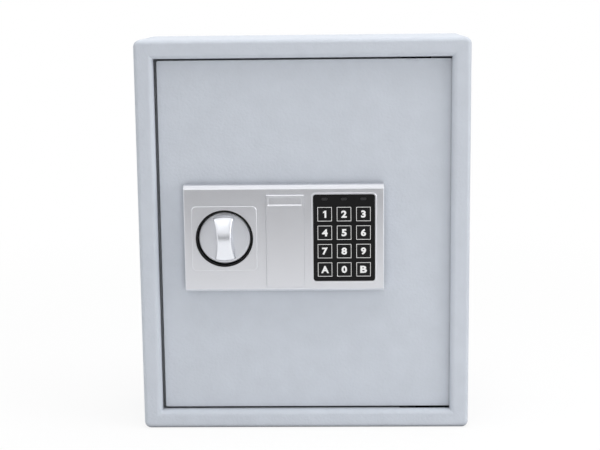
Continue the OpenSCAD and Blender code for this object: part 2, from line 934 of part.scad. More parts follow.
// Round crank plate on the spindle's end, with its drive pin low on the hinge side at rest
module drive_crank() {
    reach = crank_r / sqrt(2);
    color(steel) {
        difference() {
            pin_y(crank_front, crank_front + crank_t, knob_x, knob_z, crank_plate_r);
            pin_y(crank_front - cut, crank_front + crank_t + cut, knob_x, knob_z, spindle_r + run_clear);
        }
        pin_y(crank_front + crank_t, carriage_back + drive_pin_out, knob_x + reach, knob_z - reach,
            drive_pin_d / 2);
    }
}

// Keypad
function key_x(i) = keypad_x + (i % key_columns - (key_columns - 1) / 2) * key_dx;
function key_z(i) = keys_z + ((key_rows - 1) / 2 - floor(i / key_columns)) * key_dz;

module led_outline(column, grow) {
    half = (led_w - led_h) / 2;
    slot_x(key_x(column) - half, key_x(column) + half, led_z, led_h / 2 + grow);
}

module keypad_panel() {
    color(black) difference() {
        union() {
            slab(panel_front, panel_back) keypad_hole(0);
            slab(fascia_in_d, panel_back) keypad_hole(panel_flange_w);
        }
        slab(panel_front + panel_t, panel_back + cut) keypad_hole(-panel_wall);
        for (i = [0 : len(key_names) - 1]) slab(panel_front - cut, panel_back)
            round_rect([key_x(i), key_z(i)], [key_w + 2 * key_gap, key_w + 2 * key_gap], key_r + key_gap);
        for (column = [0 : key_columns - 1])
            slab(panel_front - cut, panel_back) led_outline(column, seat);
    }
}

module key_cap(i) {
    flange_d = panel_front + panel_t + seat;
    side = key_w + 2 * (key_gap + key_flange_w);
    color(black) {
        slab(key_front, flange_d + key_flange_t)
            round_rect([key_x(i), key_z(i)], [key_w, key_w], key_r);
        slab(flange_d, flange_d + key_flange_t)
            round_rect([key_x(i), key_z(i)], [side, side], key_r);
    }
}

module indicator_lamps() {
    color([0.16, 0.16, 0.17]) for (column = [0 : key_columns - 1])
        slab(panel_front, panel_back) led_outline(column, 0);
}

module keypad_board() {
    color(board_green) slab(panel_back, board_d) keypad_hole(panel_flange_w);
}

// Flat cable from the keypad's board to the control board, with a slight bow
module keypad_cable() {
    bow = 0.8;
    steps = 12;
    run = pcb_front - board_d;
    curve = [for (i = [0 : steps])
        [board_d + run * i / steps, cable_z + bow * sin(360 * i / steps)]];
    sides = concat([for (p = curve) p + [0, cable_t / 2]],
        [for (i = [steps : -1 : 0]) curve[i] - [0, cable_t / 2]]);
    color([0.55, 0.56, 0.58]) along_x(keypad_x - cable_w / 2, keypad_x + cable_w / 2) polygon(sides);
}

// Key lock
// Cover with a bevelled top edge and a finger groove, whose lower side slopes
module lock_cover() {
    high = lid_z + lid_h / 2;
    groove_high = high - lid_groove_in;
    groove_low = groove_high - lid_groove_h;
    groove_d = lid_front + lid_groove_t;
    color(silver) {
        difference() {
            slab(lid_front, lid_front + lid_t)
                round_rect([lock_x, lid_z], [lid_w, lid_h], lid_corner_r);
            along_x(lock_x - lid_groove_w / 2, lock_x + lid_groove_w / 2)
                polygon([[lid_front - cut, groove_high], [groove_d, groove_high],
                    [groove_d, groove_low + lid_groove_t], [lid_front - cut, groove_low - cut]]);
            along_x(lock_x - lid_w, lock_x + lid_w)
                polygon([[lid_front - cut, high - lid_bevel - cut], [lid_front - cut, high + cut],
                    [lid_front + lid_bevel + cut, high + cut]]);
        }
        for (sx = [-1, 1]) for (sz = [-1, 1])
            pin_y(lid_front + lid_t, lid_front + lid_t + lid_peg_l, lock_x + sx * lid_peg_dx,
                lid_z + sz * lid_peg_dz, lid_peg_r);
    }
}

module lock_barrel() {
    color(steel) difference() {
        union() {
            pin_y(lock_front, lock_back, lock_x, lock_z, barrel_r);
            pin_y(recess - lock_flange_t, recess, lock_x, lock_z, barrel_r + lock_flange_w);
        }
        pin_y(lock_front - cut, lock_back + cut, lock_x, lock_z, plug_r + run_clear);
    }
}

module lock_nut() {
    color(zinc) slab(door_back, door_back + nut_t) translate([lock_x, lock_z]) difference() {
        circle(barrel_r + nut_w, $fn = 6);
        circle(barrel_r + seat);
    }
}

module lock_plug() {
    color(brass) difference() {
        pin_y(lock_front, lock_back, lock_x, lock_z, plug_r);
        slab(lock_front - cut, lock_back - tail_t) translate([lock_x, lock_z])
            square(keyway, center = true);
    }
}

// Disc on the back of the plug with the pin that draws the plunger
module lock_tail() {
    reach = tail_r * cos(tail_angle);
    rise = tail_r * sin(tail_angle);
    color(steel) {
        pin_y(lock_back, lock_back + tail_t, lock_x, lock_z, tail_disc_r);
        pin_y(lock_back + tail_t, flag_d + flag_t + cut, lock_x + reach, lock_z + rise, tail_pin_d / 2);
    }
}

// Bolt work
module bolt_guide() {
    low = knob_z - bolt_dz - bolt_r - guide_margin;
    high = knob_z + bolt_dz + bolt_r + guide_margin;
    color(steel) difference() {
        along_z(low, high) {
            box2([guide_x, door_back], [guide_x + guide_t, bolt_depth + bolt_r + guide_over]);
            box2([guide_x, door_back], [guide_x + guide_foot_w, door_back + guide_t]);
        }
        for (sz = [-1, 1])
            bar_x(guide_x - cut, guide_x + guide_t + cut, bolt_depth, knob_z + sz * bolt_dz,
                bolt_r + run_clear);
    }
}

module locking_bolts() {
    color(steel) for (sz = [-1, 1]) difference() {
        translate([tip_x, front_y + bolt_depth, knob_z + sz * bolt_dz]) rotate([0, 90, 0])
            rotate_extrude() polygon([[0, 0], [bolt_r - bolt_nose, 0], [bolt_r, bolt_nose],
                [bolt_r, bolt_l], [0, bolt_l]]);
        bar_x(tail_x - bolt_screw_l, tail_x + cut, bolt_depth, knob_z + sz * bolt_dz,
            bolt_screw_r + run_clear);
    }
}

module bolt_screws() {
    color(zinc) for (sz = [-1, 1]) {
        bar_x(tail_x - bolt_screw_l + cut, tail_x + carriage_t, bolt_depth, knob_z + sz * bolt_dz,
            bolt_screw_r);
        bar_x(tail_x + carriage_t, tail_x + carriage_t + bolt_screw_head_t, bolt_depth,
            knob_z + sz * bolt_dz, bolt_screw_head_r);
    }
}

// Folded plate: two tabs that hold the bolts, slots for the drive pin and studs, and a tail that
// the plunger stops
module bolt_carriage() {
    reach = crank_r / sqrt(2);
    pin_r = drive_pin_d / 2;
    stud_r = stud_d / 2;
    tab_half = bolt_r + carriage_margin;
    color(zinc) difference() {
        union() {
            slab(carriage_d, carriage_back) {
                box2([tail_x, knob_z - carriage_half_z], [carriage_r, knob_z + carriage_half_z]);
                box2([carriage_r - lap, tail_low], [tail_end, tail_low + tail_h]);
            }
            along_x(tail_x, tail_x + carriage_t) for (sz = [-1, 1])
                translate([0, knob_z + sz * bolt_dz])
                    box2([bolt_depth - bolt_r, -tab_half], [carriage_back, tab_half]);
        }
        slab(carriage_d - cut, carriage_back + cut) {
            for (z = [knob_z - crank_r, knob_z - reach])
                translate([knob_x + reach, z]) circle(pin_r + slot_clear);
            box2([knob_x + reach - pin_r - slot_clear, knob_z - crank_r],
                [knob_x + reach + pin_r + slot_clear, knob_z - reach]);
            for (sz = [-1, 1])
                slot_x(stud_x, stud_x + bolt_throw, knob_z + sz * stud_dz, stud_r + stud_gap);
        }
        for (sz = [-1, 1])
            bar_x(tail_x - cut, tail_x + carriage_t + cut, bolt_depth, knob_z + sz * bolt_dz,
                bolt_screw_r + run_clear);
    }
}

// Shoulder studs on the door that guide and hold the carriage
module guide_studs() {
    head_d = carriage_back + stud_gap;
    color(zinc) for (sz = [-1, 1]) {
        pin_y(door_back, head_d, stud_x, knob_z + sz * stud_dz, stud_d / 2);
        pin_y(head_d, head_d + stud_head_t, stud_x, knob_z + sz * stud_dz, stud_d / 2 + stud_head_w);
        pin_y(door_back, carriage_d - stud_gap, stud_x, knob_z + sz * stud_dz, stud_d / 2 + stud_head_w);
    }
}

// Solenoid
module solenoid_frame() {
    back_d = plunger_depth + coil_r;
    color(zinc) difference() {
        along_x(plunger_x - frame_half_w, plunger_x + frame_half_w) {
            box2([door_back, coil_low - frame_t], [door_back + frame_t, coil_top + frame_t]);
            box2([door_back, coil_top], [back_d, coil_top + frame_t]);
            box2([door_back, coil_low - frame_t], [back_d, coil_low]);
        }
        along_z(coil_top - cut, coil_top + frame_t + cut) translate([plunger_x, plunger_depth])
            circle(plunger_r + 3 * seat);
    }
}

module solenoid_coil() {
    color([0.45, 0.22, 0.12]) along_z(coil_low, coil_top) translate([plunger_x, plunger_depth])
        difference() {
            circle(coil_r);
            circle(plunger_r + 3 * seat);
        }
}

// Rod, collar and the flag that the lock's tail pin pushes down
module plunger() {
    rod_low = coil_low + plunger_travel + rod_room;
    color(steel) {
        along_z(rod_low, plunger_tip) translate([plunger_x, plunger_depth]) circle(plunger_r);
        along_z(collar_low, collar_low + collar_t) {
            translate([plunger_x, plunger_depth]) circle(plunger_r + collar_w);
            box2([plunger_x, flag_d], [flag_x + flag_w, flag_d + flag_t]);
        }
        slab(flag_d, flag_d + flag_t) box2([flag_x, collar_low], [flag_x + flag_w, flag_top]);
    }
}

// Plunger spring: one helical tube
spring_gap = 0.5;
spring_r = plunger_r + spring_gap + spring_wire / 2;
spring_low = coil_top + frame_t + spring_wire / 2 + seat;
spring_high = collar_low - spring_wire / 2 - seat;
spring_pitch = (spring_high - spring_low) / spring_turns;
echo(spring_gap_to_itself = spring_pitch - spring_wire);
turn_rings = 8;
tube_sides = 6;

function spring_point(i, j) =
    let (turn = 360 * i / turn_rings, side = 360 * j / tube_sides,
         r = spring_r + spring_wire / 2 * cos(side),
         lead = atan(spring_pitch / (2 * PI * spring_r)),
         lift = spring_wire / 2 * sin(side))
    [plunger_x + r * cos(turn) + lift * sin(lead) * sin(turn),
     front_y + plunger_depth + r * sin(turn) - lift * sin(lead) * cos(turn),
     spring_low + spring_pitch * i / turn_rings + lift * cos(lead)];

module plunger_spring() {
    rings = spring_turns * turn_rings;
    points = [for (i = [0 : rings]) for (j = [0 : tube_sides - 1]) spring_point(i, j)];
    walls = [for (i = [0 : rings - 1]) for (j = [0 : tube_sides - 1])
        let (a = i * tube_sides + j, b = i * tube_sides + (j + 1) % tube_sides,
             c = a + tube_sides, d = b + tube_sides)
        for (face = [[a, b, d], [a, d, c]]) face];
    start = [for (j = [1 : tube_sides - 2]) [0, j + 1, j]];
    last = rings * tube_sides;
    end = [for (j = [1 : tube_sides - 2]) [last, last + j, last + j + 1]];
    color(steel) polyhedron(points, concat(walls, start, end));
}

// Inner cover and electronics
module cover_outline(inset) {
    round_rect([(cover_l + cover_rt) / 2, (cover_b + cover_top) / 2],
        [cover_rt - cover_l - 2 * inset, cover_top - cover_b - 2 * inset], cover_r - inset);
}

module inner_cover() {
    color([0.70, 0.73, 0.77]) difference() {
        slab(door_back, cover_back) cover_outline(0);
        slab(door_back - cut, cover_inner) cover_outline(cover_t);
        for (sz = [-1, 1])
            bar_x(cover_l - cut, cover_l + cover_t + cut, bolt_depth, knob_z + sz * bolt_dz,
                bolt_r + bolt_hole_gap);
        slab(cover_inner - cut, cover_back + cut)
            round_rect([tray_x, tray_z], [tray_w + 2 * seat, tray_h + 2 * seat], tray_wall);
        pin_y(cover_inner - cut, cover_back + cut, reset_x, reset_z, reset_r + 2 * seat);
        for (p = cover_places)
            pin_y(cover_inner - cut, cover_back + cut, p[0], p[1], cover_screw_d / 2 + seat);
    }
}

module cover_posts() {
    color(zinc) for (p = cover_places) difference() {
        pin_y(door_back, cover_inner, p[0], p[1], post_r);
        pin_y(cover_inner - post_bore, cover_inner + cut, p[0], p[1], cover_screw_d / 2 + run_clear);
    }
}

module cover_screws() {
    color(zinc) for (p = cover_places) {
        pin_y(cover_inner - cover_screw_grip, cover_back + cut, p[0], p[1], cover_screw_d / 2);
        pin_y(cover_back, cover_back + screw_head_t, p[0], p[1], cover_screw_d);
    }
}

module battery_tray() {
    color(black) difference() {
        union() {
            slab(tray_front, tray_back) round_rect([tray_x, tray_z], [tray_w, tray_h], tray_wall);
            slab(cover_back, tray_back) round_rect([tray_x, tray_z],
                [tray_w + 2 * tray_lip_w, tray_h + 2 * tray_lip_w], tray_lip_w);
        }
        slab(tray_front + tray_wall, tray_back + cut) round_rect([tray_x, tray_z],
            [tray_w - 2 * tray_wall, tray_h - 2 * tray_wall], tray_wall / 2);
    }
}

function cell_x(i) = tray_x + (i - (cells - 1) / 2) * (cell_d + cell_gap);

module batteries() {
    depth = tray_front + tray_wall + cell_d / 2 + seat;
    color([0.15, 0.22, 0.32]) for (i = [0 : cells - 1]) translate([cell_x(i), front_y + depth, tray_z])
        mirror([0, 0, i % 2]) {
            translate([0, 0, -cell_l / 2]) cylinder(h = cell_l - nub_h, d = cell_d);
            translate([0, 0, cell_l / 2 - nub_h]) cylinder(h = nub_h, r = nub_r);
        }
}

module battery_lid() {
    gap = 2 * tray_wall + 4 * seat;
    color(black) difference() {
        slab(tray_back - lid_plate_t, tray_back + lid_plate_t / 2)
            round_rect([tray_x, tray_z], [tray_w - gap, tray_h - gap], tray_wall / 2);
        for (row = [-1 : 1])
            bar_x(tray_x - tray_w / 6, tray_x + tray_w / 6, tray_back + lid_plate_t / 2,
                tray_z + tray_h / 4 + row * lid_rib_dz, lid_plate_t / 2);
    }
}

module control_board() {
    back = pcb_front + board_t;
    color(board_green) {
        slab(pcb_front, back) translate([pcb_x, pcb_z]) square([pcb_w, pcb_h], center = true);
        slab(back, switch_top) translate([reset_x, reset_z]) square(switch_w, center = true);
        slab(back, back + chip_t) translate([pcb_x + chip_dx, pcb_z]) square(chip_w, center = true);
        slab(back, back + header_t) translate([pcb_x - header_dx, pcb_z - header_dz])
            square([header_w, header_h], center = true);
        pin_y(back, back + capacitor_h, pcb_x + capacitor_dx, pcb_z - capacitor_dz, capacitor_r);
    }
}

module reset_button() {
    color([0.70, 0.12, 0.10]) {
        pin_y(cover_inner - reset_flange_t - seat, cover_back + reset_out, reset_x, reset_z, reset_r);
        pin_y(cover_inner - reset_flange_t - seat, cover_inner - seat, reset_x, reset_z,
            reset_r + reset_flange_w);
        pin_y(switch_top + reset_travel + seat, cover_inner - reset_flange_t, reset_x, reset_z,
            reset_stem_r);
    }
}

front_frame();
body_wrap();
back_panel();
hinge_bracket_lower();
hinge_bracket_upper();
floor_mat();
door_plate();
hinge_lugs();
hinge_pin_lower();
hinge_pin_upper();
hinge_bushes();
fascia();
fascia_screws();
knob_ring();
spindle_bush();
keypad_panel();
keypad_board();
keypad_cable();
indicator_lamps();
lock_barrel();
lock_nut();
bolt_guide();
guide_studs();
solenoid_frame();
solenoid_coil();
plunger_spring();
control_board();
cover_posts();
inner_cover();
cover_screws();
battery_tray();
batteries();
knob();
knob_spindle();
drive_crank();
bolt_carriage();
locking_bolts();
bolt_screws();
plunger();
lock_plug();
lock_tail();
lock_cover();
battery_lid();
reset_button();
for (i = [0 : len(key_names) - 1])
    key_cap(i);
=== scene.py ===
import math

import bmesh
import bpy
from mathutils import Matrix, Vector, noise


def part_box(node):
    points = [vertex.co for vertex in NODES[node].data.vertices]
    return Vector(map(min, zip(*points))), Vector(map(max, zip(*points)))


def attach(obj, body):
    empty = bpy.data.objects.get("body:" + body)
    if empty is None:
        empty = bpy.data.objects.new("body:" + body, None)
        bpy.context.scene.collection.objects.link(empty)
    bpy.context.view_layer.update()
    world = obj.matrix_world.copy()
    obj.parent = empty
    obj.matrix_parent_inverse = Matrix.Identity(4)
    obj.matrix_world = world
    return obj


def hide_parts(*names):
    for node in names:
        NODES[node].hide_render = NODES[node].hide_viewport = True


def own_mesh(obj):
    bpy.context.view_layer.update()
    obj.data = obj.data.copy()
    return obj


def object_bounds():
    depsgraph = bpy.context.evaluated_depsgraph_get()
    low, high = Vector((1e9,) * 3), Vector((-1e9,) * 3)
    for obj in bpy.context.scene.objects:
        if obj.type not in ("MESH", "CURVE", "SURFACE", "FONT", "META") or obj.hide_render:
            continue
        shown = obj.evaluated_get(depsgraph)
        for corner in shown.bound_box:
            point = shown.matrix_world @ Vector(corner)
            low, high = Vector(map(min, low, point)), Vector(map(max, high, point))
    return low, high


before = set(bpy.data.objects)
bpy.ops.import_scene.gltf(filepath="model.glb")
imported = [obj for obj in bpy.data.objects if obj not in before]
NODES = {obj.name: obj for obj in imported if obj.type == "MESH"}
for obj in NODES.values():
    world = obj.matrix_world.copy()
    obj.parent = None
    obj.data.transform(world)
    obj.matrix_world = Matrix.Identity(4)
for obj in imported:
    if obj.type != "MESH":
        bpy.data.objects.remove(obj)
cad_low, cad_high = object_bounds()

MM = 0.001
EVEN = (1.0, 1.0, 1.0)
WHITE = (1.0, 1.0, 1.0, 1.0)


# Camera: the photograph's viewpoint, in metres and degrees
CAMERA_PLACE = Vector((0.0263, -1.24109, 0.3981))
CAMERA_YAW = -1.424
CAMERA_PITCH = 9.830
CAMERA_ROLL = -0.638
CAMERA_LENS = 80.53
SENSOR_WIDTH = 36.0


def add_camera():
    """Yaw runs from +Y towards +X, pitch downwards, and roll lifts the right side."""
    yaw, pitch, roll = (math.radians(a) for a in (CAMERA_YAW, CAMERA_PITCH, CAMERA_ROLL))
    ahead = Vector((math.sin(yaw) * math.cos(pitch), math.cos(yaw) * math.cos(pitch), -math.sin(pitch)))
    level = Vector((math.cos(yaw), -math.sin(yaw), 0.0))
    upright = level.cross(ahead)
    right = math.cos(roll) * level + math.sin(roll) * upright
    up = math.cos(roll) * upright - math.sin(roll) * level
    data = bpy.data.cameras.new("camera")
    data.sensor_fit = "HORIZONTAL"
    data.sensor_width = SENSOR_WIDTH
    data.lens = CAMERA_LENS
    camera = bpy.data.objects.new("camera", data)
    turned = Matrix((right, up, -ahead)).transposed().to_4x4()
    camera.matrix_world = Matrix.Translation(CAMERA_PLACE) @ turned
    bpy.context.scene.collection.objects.link(camera)
    bpy.context.scene.camera = camera


# Stage: white world and floor, a low dark screen in front, and soft lamps
AMBIENT = 0.50
FLOOR_SIZE = 14.0
FLOOR_ALBEDO = (0.82, 0.82, 0.82, 1.0)
FLOOR_WHITE_NEAR = 0.86
FLOOR_NEAR = 0.25
FLOOR_FAR = 1.1
SCREEN_PLACE = (0.0, -1.0, 0.19)
SCREEN_SIZE = (2.4, 0.38)
SCREEN_GREY = (0.02, 0.02, 0.022, 1.0)
LAMPS = {
    # name: place, size, watts
    "key_lamp": ((1.5, -0.55, 0.6), 1.0, 8.7),
    "top_lamp": ((0.1, -0.2, 1.9), 1.2, 25.0),
    "fill_lamp": ((-1.4, -1.2, 0.8), 1.2, 3.0),
    "front_lamp": ((-0.25, -1.5, 0.75), 0.6, 0.8),
    "bounce_lamp": ((0.1, -0.75, 0.10), 0.2, 0.75),
}
SHINING_LAMPS = ("key_lamp", "fill_lamp", "front_lamp")
LAMP_AIM = Vector((0.0, 0.0, 0.18))


def seen_ray(tree):
    """1 for rays that show the background: from the camera, and through gloss or glass."""
    path = tree.nodes.new("ShaderNodeLightPath")
    either = tree.nodes.new("ShaderNodeMath")
    either.operation = "MAXIMUM"
    tree.links.new(path.outputs["Is Camera Ray"], either.inputs[0])
    tree.links.new(path.outputs["Is Glossy Ray"], either.inputs[1])
    any_seen = tree.nodes.new("ShaderNodeMath")
    any_seen.operation = "MAXIMUM"
    tree.links.new(either.outputs[0], any_seen.inputs[0])
    tree.links.new(path.outputs["Is Transmission Ray"], any_seen.inputs[1])
    return any_seen.outputs[0]


def mix_shaders(tree, share, first, second):
    mix = tree.nodes.new("ShaderNodeMixShader")
    tree.links.new(share, mix.inputs["Fac"])
    tree.links.new(first, mix.inputs[1])
    tree.links.new(second, mix.inputs[2])
    return mix.outputs[0]


def light_world():
    world = bpy.data.worlds.new("white_studio")
    world.use_nodes = True
    tree = world.node_tree
    ambient = tree.nodes["Background"]
    ambient.inputs["Color"].default_value = WHITE
    ambient.inputs["Strength"].default_value = AMBIENT
    shown = tree.nodes.new("ShaderNodeBackground")
    shown.inputs["Color"].default_value = WHITE
    shown.inputs["Strength"].default_value = 1.0
    surface = mix_shaders(tree, seen_ray(tree), ambient.outputs[0], shown.outputs[0])
    tree.links.new(surface, tree.nodes["World Output"].inputs["Surface"])
    bpy.context.scene.world = world


def floor_material():
    """White paper: it shows the object's shadow close by and turns into the white background."""
    mat = bpy.data.materials.new("floor_paper")
    mat.use_nodes = True
    tree = mat.node_tree
    tree.nodes.remove(tree.nodes["Principled BSDF"])
    paper = tree.nodes.new("ShaderNodeBsdfDiffuse")
    paper.inputs["Color"].default_value = FLOOR_ALBEDO
    glow = tree.nodes.new("ShaderNodeEmission")
    glow.inputs["Color"].default_value = WHITE
    glow.inputs["Strength"].default_value = 1.0
    coords = tree.nodes.new("ShaderNodeTexCoord")
    distance = tree.nodes.new("ShaderNodeVectorMath")
    distance.operation = "LENGTH"
    tree.links.new(coords.outputs["Object"], distance.inputs[0])
    share = tree.nodes.new("ShaderNodeMapRange")
    share.interpolation_type = "SMOOTHSTEP"
    share.inputs["From Min"].default_value = FLOOR_NEAR
    share.inputs["From Max"].default_value = FLOOR_FAR
    share.inputs["To Min"].default_value = FLOOR_WHITE_NEAR
    share.inputs["To Max"].default_value = 1.0
    tree.links.new(distance.outputs["Value"], share.inputs["Value"])
    shown = mix_shaders(tree, share.outputs["Result"], paper.outputs[0], glow.outputs[0])
    surface = mix_shaders(tree, seen_ray(tree), paper.outputs[0], shown)
    tree.links.new(surface, tree.nodes["Material Output"].inputs["Surface"])
    return mat


def screen_material():
    mat = bpy.data.materials.new("dark_screen")
    mat.use_nodes = True
    tree = mat.node_tree
    tree.nodes.remove(tree.nodes["Principled BSDF"])
    glow = tree.nodes.new("ShaderNodeEmission")
    glow.inputs["Color"].default_value = SCREEN_GREY
    glow.inputs["Strength"].default_value = 1.0
    tree.links.new(glow.outputs[0], tree.nodes["Material Output"].inputs["Surface"])
    return mat


def flat_panel(name, width, height, mat):
    """A rectangle in its own X and Y, about its own origin."""
    x, y = width / 2, height / 2
    mesh = bpy.data.meshes.new(name)
    mesh.from_pydata([(-x, -y, 0), (x, -y, 0), (x, y, 0), (-x, y, 0)], [], [(0, 1, 2, 3)])
    mesh.materials.append(mat)
    panel = bpy.data.objects.new(name, mesh)
    bpy.context.scene.collection.objects.link(panel)
    return panel


def add_stage():
    floor = flat_panel("floor", FLOOR_SIZE, FLOOR_SIZE, floor_material())
    floor.location.z = cad_low.z
    screen = flat_panel("dark_screen", *SCREEN_SIZE, screen_material())
    screen.location = SCREEN_PLACE
    screen.rotation_euler.x = math.radians(90)
    screen.visible_camera = False
    screen.visible_shadow = False


def add_lamps():
    for name, (place, size, watts) in LAMPS.items():
        data = bpy.data.lights.new(name, "AREA")
        data.shape = "SQUARE"
        data.size = size
        data.energy = watts
        lamp = bpy.data.objects.new(name, data)
        lamp.location = place
        lamp.visible_camera = False
        lamp.visible_glossy = name in SHINING_LAMPS
        lamp.rotation_euler = (LAMP_AIM - lamp.location).to_track_quat("-Z", "Y").to_euler()
        bpy.context.scene.collection.objects.link(lamp)


# Material parts: scales are in grains per metre, and most of a grain's values lie between two limits
GRAIN_LOW = 0.3
GRAIN_HIGH = 0.7


def new_material(name, **sockets):
    """A material and its shader, with the values that are the same all over it."""
    mat = bpy.data.materials.new(name)
    mat.use_nodes = True
    shader = mat.node_tree.nodes["Principled BSDF"]
    for socket, value in sockets.items():
        shader.inputs[socket.replace("_", " ")].default_value = value
    return mat, shader


def part_coords(tree, scale, stretch):
    """Places on the part in its own metres, times a scale."""
    coords = tree.nodes.new("ShaderNodeTexCoord")
    mapping = tree.nodes.new("ShaderNodeMapping")
    mapping.inputs["Scale"].default_value = [scale * s for s in stretch]
    tree.links.new(coords.outputs["Object"], mapping.inputs["Vector"])
    return mapping.outputs["Vector"]


def grain(shader, scale, detail=2.0, stretch=EVEN):
    """Soft noise from 0 to 1."""
    tree = shader.id_data
    texture = tree.nodes.new("ShaderNodeTexNoise")
    texture.inputs["Scale"].default_value = 1.0
    texture.inputs["Detail"].default_value = detail
    tree.links.new(part_coords(tree, scale, stretch), texture.inputs["Vector"])
    return texture.outputs["Fac"]


def cells(shader, scale):
    """Distance to scattered points, for flakes, pits and spangles."""
    tree = shader.id_data
    texture = tree.nodes.new("ShaderNodeTexVoronoi")
    texture.inputs["Scale"].default_value = 1.0
    tree.links.new(part_coords(tree, scale, EVEN), texture.inputs["Vector"])
    return texture.outputs["Distance"]


def ramp(shader, value, stops, blend="LINEAR"):
    """Colours along a value: stops are pairs of place and colour."""
    tree = shader.id_data
    node = tree.nodes.new("ShaderNodeValToRGB")
    node.color_ramp.interpolation = blend
    points = node.color_ramp.elements
    while len(points) < len(stops):
        points.new(0.5)
    for point, (place, colour) in zip(points, stops):
        point.position = place
        point.color = (*colour, 1.0)
    tree.links.new(value, node.inputs["Fac"])
    return node.outputs["Color"]


def tones(colour, spread):
    """A darker and a lighter tone of a colour."""
    return [tuple(c * (1 + sign * spread) for c in colour) for sign in (-1, 1)]


def mottle(shader, value, colour, spread):
    """Base colour that wanders a little about one colour."""
    dark, light = tones(colour, spread)
    result = ramp(shader, value, [(GRAIN_LOW, dark), (GRAIN_HIGH, light)])
    shader.id_data.links.new(result, shader.inputs["Base Color"])


def patches(shader, value, low, high):
    """Roughness that wanders between two values."""
    tree = shader.id_data
    span = tree.nodes.new("ShaderNodeMapRange")
    span.inputs["From Min"].default_value = GRAIN_LOW
    span.inputs["From Max"].default_value = GRAIN_HIGH
    span.inputs["To Min"].default_value = low
    span.inputs["To Max"].default_value = high
    tree.links.new(value, span.inputs["Value"])
    tree.links.new(span.outputs["Result"], shader.inputs["Roughness"])


def bumps(shader, value, height):
    """Raises the surface by a value times a height; later calls add to earlier ones."""
    tree = shader.id_data
    bump = tree.nodes.new("ShaderNodeBump")
    bump.inputs["Strength"].default_value = 1.0
    bump.inputs["Distance"].default_value = height
    tree.links.new(value, bump.inputs["Height"])
    normal = shader.inputs["Normal"]
    if normal.is_linked:
        tree.links.new(normal.links[0].from_socket, bump.inputs["Normal"])
    tree.links.new(bump.outputs["Normal"], normal)


# Painted shade in narrow gaps: how far other surfaces count, and the shade painted into the colour for how
# open a place is
GAP_SAMPLES = 6
GAP_REACH = 10 * MM
PAINTED_GAP_SHADES = ((0.10, (0.14, 0.14, 0.14)), (0.40, (0.74, 0.74, 0.74)), (0.80, EVEN))
MIX_FACTOR, MIX_FIRST, MIX_SECOND, MIX_RESULT = 0, 6, 7, 2


def paint_gap_shade(shader):
    """Paints shade into the base colour: darkens it where other surfaces stand close."""
    tree = shader.id_data
    nearby = tree.nodes.new("ShaderNodeAmbientOcclusion")
    nearby.samples = GAP_SAMPLES
    nearby.inputs["Distance"].default_value = GAP_REACH
    blend = tree.nodes.new("ShaderNodeMix")
    blend.data_type = "RGBA"
    blend.blend_type = "MULTIPLY"
    blend.inputs[MIX_FACTOR].default_value = 1.0
    colour = shader.inputs["Base Color"]
    tree.links.new(colour.links[0].from_socket, blend.inputs[MIX_FIRST])
    tree.links.new(ramp(shader, nearby.outputs["AO"], PAINTED_GAP_SHADES), blend.inputs[MIX_SECOND])
    tree.links.new(blend.outputs[MIX_RESULT], colour)


# Materials
PAINT = (0.528, 0.562, 0.618)
SILVER = (0.80, 0.81, 0.85)
KNOB_SILVER = (0.85, 0.87, 0.92)
BLACK = (0.004, 0.004, 0.0045)
KEY_BLACK = (0.005, 0.005, 0.0055)
PRINT_WHITE = (0.80, 0.80, 0.80)
STEEL = (0.58, 0.58, 0.60)
ZINC = (0.62, 0.61, 0.57)
BRASS = (0.70, 0.52, 0.24)
COPPER = (0.42, 0.18, 0.10)
NYLON = (0.78, 0.77, 0.72)
BOARD_GREEN = (0.03, 0.16, 0.08)
CABLE_GREY = (0.30, 0.31, 0.33)
LENS = (0.022, 0.022, 0.024)
FELT = (0.060, 0.063, 0.072)
BUTTON_RED = (0.45, 0.020, 0.015)
FLAKE_HEIGHT = 0.001 * MM

# Stretches of a grain: a small share along an axis draws it out into lines along that axis
ALONG_X = (0.03, 1.0, 1.0)
ALONG_Z = (1.0, 1.0, 0.03)
ROUND_Z = (0.02, 0.02, 1.0)
SIDE_BY_SIDE_X = (1.0, 0.02, 0.02)
FELT_TONES = (1.0, 0.35, 1.0)
FELT_FIBRES = (0.4, 1.0, 1.0)
THROUGH_Y = (1.0, 0.05, 1.0)


def painted_steel():
    """Powder coat with a fine orange-peel texture, and painted shade that darkens its colour in narrow
    gaps.
    """
    mat, shader = new_material("painted_steel", Specular_IOR_Level=0.4)
    mottle(shader, grain(shader, 60, detail=4.0), PAINT, spread=0.022)
    # painted shade: the base colour is darkened in narrow gaps, where other surfaces stand close
    paint_gap_shade(shader)
    patches(shader, grain(shader, 300), low=0.46, high=0.56)
    bumps(shader, grain(shader, 420), height=0.26 * MM)
    bumps(shader, grain(shader, 1500, detail=1.0), height=0.04 * MM)
    return mat


def satin_silver(name, colour, low, high):
    """Silver lacquer over a moulding: fine flakes under a satin coat."""
    mat, shader = new_material(name, Metallic=0.75, Specular_IOR_Level=0.5)
    mottle(shader, grain(shader, 2600, detail=1.0), colour, spread=0.03)
    patches(shader, grain(shader, 160), low, high)
    bumps(shader, cells(shader, 2400), FLAKE_HEIGHT)
    return mat


def black_moulding(name, colour, low, high):
    """Moulded plastic with a fine spark-eroded texture."""
    mat, shader = new_material(name, Specular_IOR_Level=0.22)
    mottle(shader, grain(shader, 220), colour, spread=0.12)
    patches(shader, grain(shader, 500), low, high)
    bumps(shader, grain(shader, 1800), height=0.03 * MM)
    return mat


def print_ink():
    """Matt white ink."""
    mat, shader = new_material("print_ink", Specular_IOR_Level=0.3)
    mottle(shader, grain(shader, 900), PRINT_WHITE, spread=0.03)
    patches(shader, grain(shader, 1500), low=0.5, high=0.65)
    return mat


